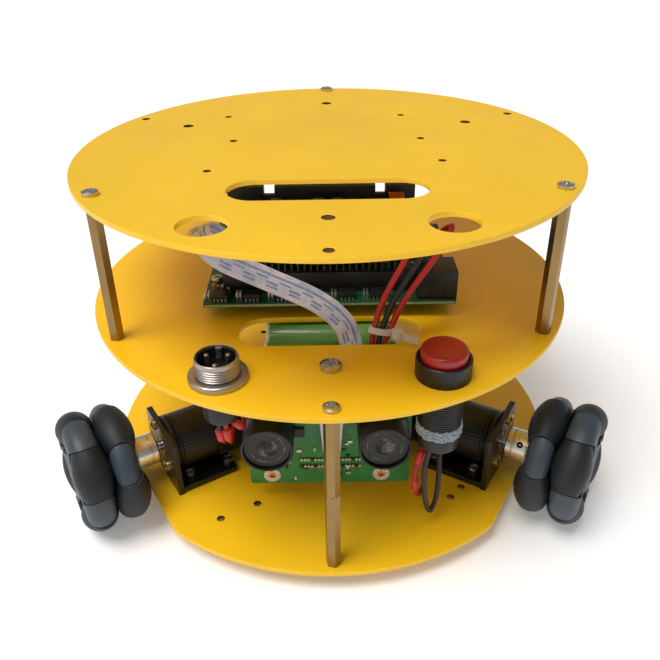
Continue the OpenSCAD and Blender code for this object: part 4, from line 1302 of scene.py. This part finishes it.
RIBBON_ROUTE = [
    (-38, -28.4, 111), (-42, -31, 118), (-46, -37, 122.5), (-45, -44, 120.5), (-38, -47.5, 114.5),
    (-22, -47.5, 106), (-5, -48.5, 97.5), (4.5, -50.2, 89.5), (7.5, -51.6, 82), (8, -54.9, 76),
    (8, -56.3, 68), (8, -56.3, 56), (8, -56.3, 42.1),
]
LEAD_ROUTE = [
    (33, -28.6, 110), (37, -33, 118), (38, -41, 122), (33, -44, 112), (27, -47, 103),
    (22.5, -49, 95), (19.5, -51, 87), (18, -52.1, 81), (18, -55, 76), (18, -56.4, 69),
    (18, -56.4, 62),
]
BUTTON_RED = [
    (35.5, -71.5, 51.2), (34, -72.5, 46), (31.8, -74, 39.5), (31.4, -74.5, 30), (33.4, -73, 24.6),
    (35.6, -70, 27), (36.2, -67, 36), (35.5, -62.5, 48), (34.5, -58.5, 58), (32, -57, 65),
    (28, -56.8, 67),
]
BUTTON_BLACK = [
    (36.5, -75.5, 51.2), (35.2, -76.2, 46), (34.2, -77.5, 40), (34.8, -78, 31), (36, -77.3, 23),
    (38, -75.5, 18.5), (40.3, -73, 23), (41, -71, 33), (41, -67, 45), (38.5, -61, 55),
    (36, -57, 65), (32, -54.5, 71),
]
SOCKET_ROUTE = [
    (-38.6, -74, 65.2), (-38.2, -74, 60), (-37.8, -73.5, 54.5), (-37.4, -70, 50.5),
    (-37, -64, 52), (-36, -59, 59), (-33.5, -56.8, 66), (-29, -56.4, 69),
]


def beside(route, x):
    """The lead x mm to one side of the middle one, further out towards the top."""
    return [(a + x * (1 + 0.035 * max(0, c - 81)), b, c) for a, b, c in route]


def shrink(piece, a, b, r=1.7):
    """A short heat-shrink sleeve over a soldered joint, from a to b."""
    a, b = Vector(a), Vector(b)
    length = (b - a).length
    ends = [(0, 0), (r * 0.75, 0.1), (r, 0.8), (r, length - 0.8), (r * 0.75, length - 0.1)]
    turn = (b - a).to_track_quat("Z", "Y").to_matrix().to_4x4()
    shape = revolve([*ends, (0, length)], 20)
    piece.add(shape, SHRINK_RED, Matrix.Translation(a) @ turn)


def make_cables():
    p = Piece("ribbon_strip")
    half, t, n = 4.2, 0.42, 20
    upper = []
    for i in range(n + 1):
        a = -half + 2 * half * i / n
        upper.append((a, t * (0.75 + 0.25 * abs(math.sin(math.pi * 5 * (a + half) / half)))))
    outline = upper[::-1] + [(a, -b) for a, b in upper]
    route = spline(RIBBON_ROUTE, 10)
    p.add(sweep(route, outline, (0.87, -0.29, 0.39), True), RIBBON)
    p.done(["ribbon_cable"], "cable_film", 60)
    q = Piece("lead_bundle")
    for x, colour in ((-2.5, LEAD_RED), (0, LEAD_BLACK), (2.5, LEAD_RED)):
        q.add(tube(beside(LEAD_ROUTE, x), 1.15, 8), colour)
    third = [(-36.6, -73, 65), (-34.6, -73, 61), (-32.2, -72.4, 58.5)]
    third += [(-32.4, -66, 61), (-32, -57.5, 66)]
    for route, r, colour in (
        (BUTTON_RED, 1.0, LEAD_RED),
        (BUTTON_BLACK, 1.0, LEAD_BLACK),
        (SOCKET_ROUTE, 1.0, LEAD_RED),
        ([(x - 2.4, y, z) for x, y, z in SOCKET_ROUTE], 1.0, LEAD_BLACK),
        (third, 0.9, LEAD_RED),
    ):
        q.add(tube(route, r, 8), colour)
    shrink(q, (-38.2, -74, 59.5), (-37.8, -73.4, 53.6))
    shrink(q, (-41.0, -74, 59), (-40.3, -73.6, 53.4), 1.5)
    shrink(q, (-35.6, -73, 62), (-32.6, -72.6, 58.6), 1.5)
    shrink(q, (34.2, -72.6, 46.5), (32.2, -73.8, 40.5))
    shrink(q, (31.6, -74.3, 34), (31.7, -74.3, 28), 1.5)
    q.done(["power_leads"], "lead_sleeve", 60)
    # the tie round the three leads, just above the slot
    r = Piece("cable_tie")
    loop = []
    for i in range(25):
        a = 2 * math.pi * i / 24
        x, y = 4.5 * math.cos(a), 1.75 * math.sin(a)
        loop.append(Vector((19.1 + x, -51.2 + y, 86.2 - 0.16 * x)))
    strap = rect(-1.2, 1.2, -0.35, 0.35)
    r.add(sweep(loop, strap, (0, 0, 1)), TIE)
    r.block(TIE, 22.6, -54.6, 83.6, 4.2, 3.2, 3.6, 0.4)
    tail = spline([(25, -53.4, 85.2), (28.5, -54.6, 84.6), (32.4, -56, 84.0)], 6)
    r.add(sweep(tail, rect(-1.4, 1.4, -0.4, 0.4), (0, 0, 1)), TIE)
    r.done((), "nylon")


# ------------------------------------------------------------------ build


def make_floor():
    bm = bmesh.new()
    bmesh.ops.create_grid(bm, x_segments=2, y_segments=2, size=6)
    mesh = bpy.data.meshes.new("floor")
    bm.to_mesh(mesh)
    bm.free()
    paper = surface("floor_paper", (0.9, 0.9, 0.9), 0.8, 0, 0.01, 6, 300, 0.05, spec=0.2)
    # The floor glows evenly to stay white, but the glow is cut away under the car, leaving painted
    # shade there
    glow = paper.node_tree.nodes["Principled BSDF"]
    fill(glow, Emission_Color=(1, 1, 1, 1))
    tree = paper.node_tree
    spot = tree.nodes.new("ShaderNodeTexCoord")
    away = tree.nodes.new("ShaderNodeVectorMath")
    away.operation = "LENGTH"
    fade = tree.nodes.new("ShaderNodeMapRange")
    fill(fade, From_Min=0.075, From_Max=0.105, To_Min=0.0, To_Max=0.2)
    tree.links.new(spot.outputs["Object"], away.inputs[0])
    tree.links.new(away.outputs["Value"], fade.inputs["Value"])
    tree.links.new(fade.outputs["Result"], glow.inputs["Emission Strength"])
    mesh.materials.append(paper)
    floor = put("floor", mesh)


make_floor()
make_decks()
make_standoffs()
make_screws()
for side, heading, sense, angle in SIDES:
    make_bracket(side, heading, sense)
    make_motor(side, heading)
    make_hub(side, heading, angle)
    make_wheel(side, heading, sense)
    make_rollers(side, heading, sense)
    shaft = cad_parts[f"{side}_motor_shaft"]
    shaft.data.materials.clear()
    shaft.data.materials.append(SHAFT)
make_controller()
make_expansion()
make_battery()
make_socket()
make_button()
make_sensor()
make_cables()
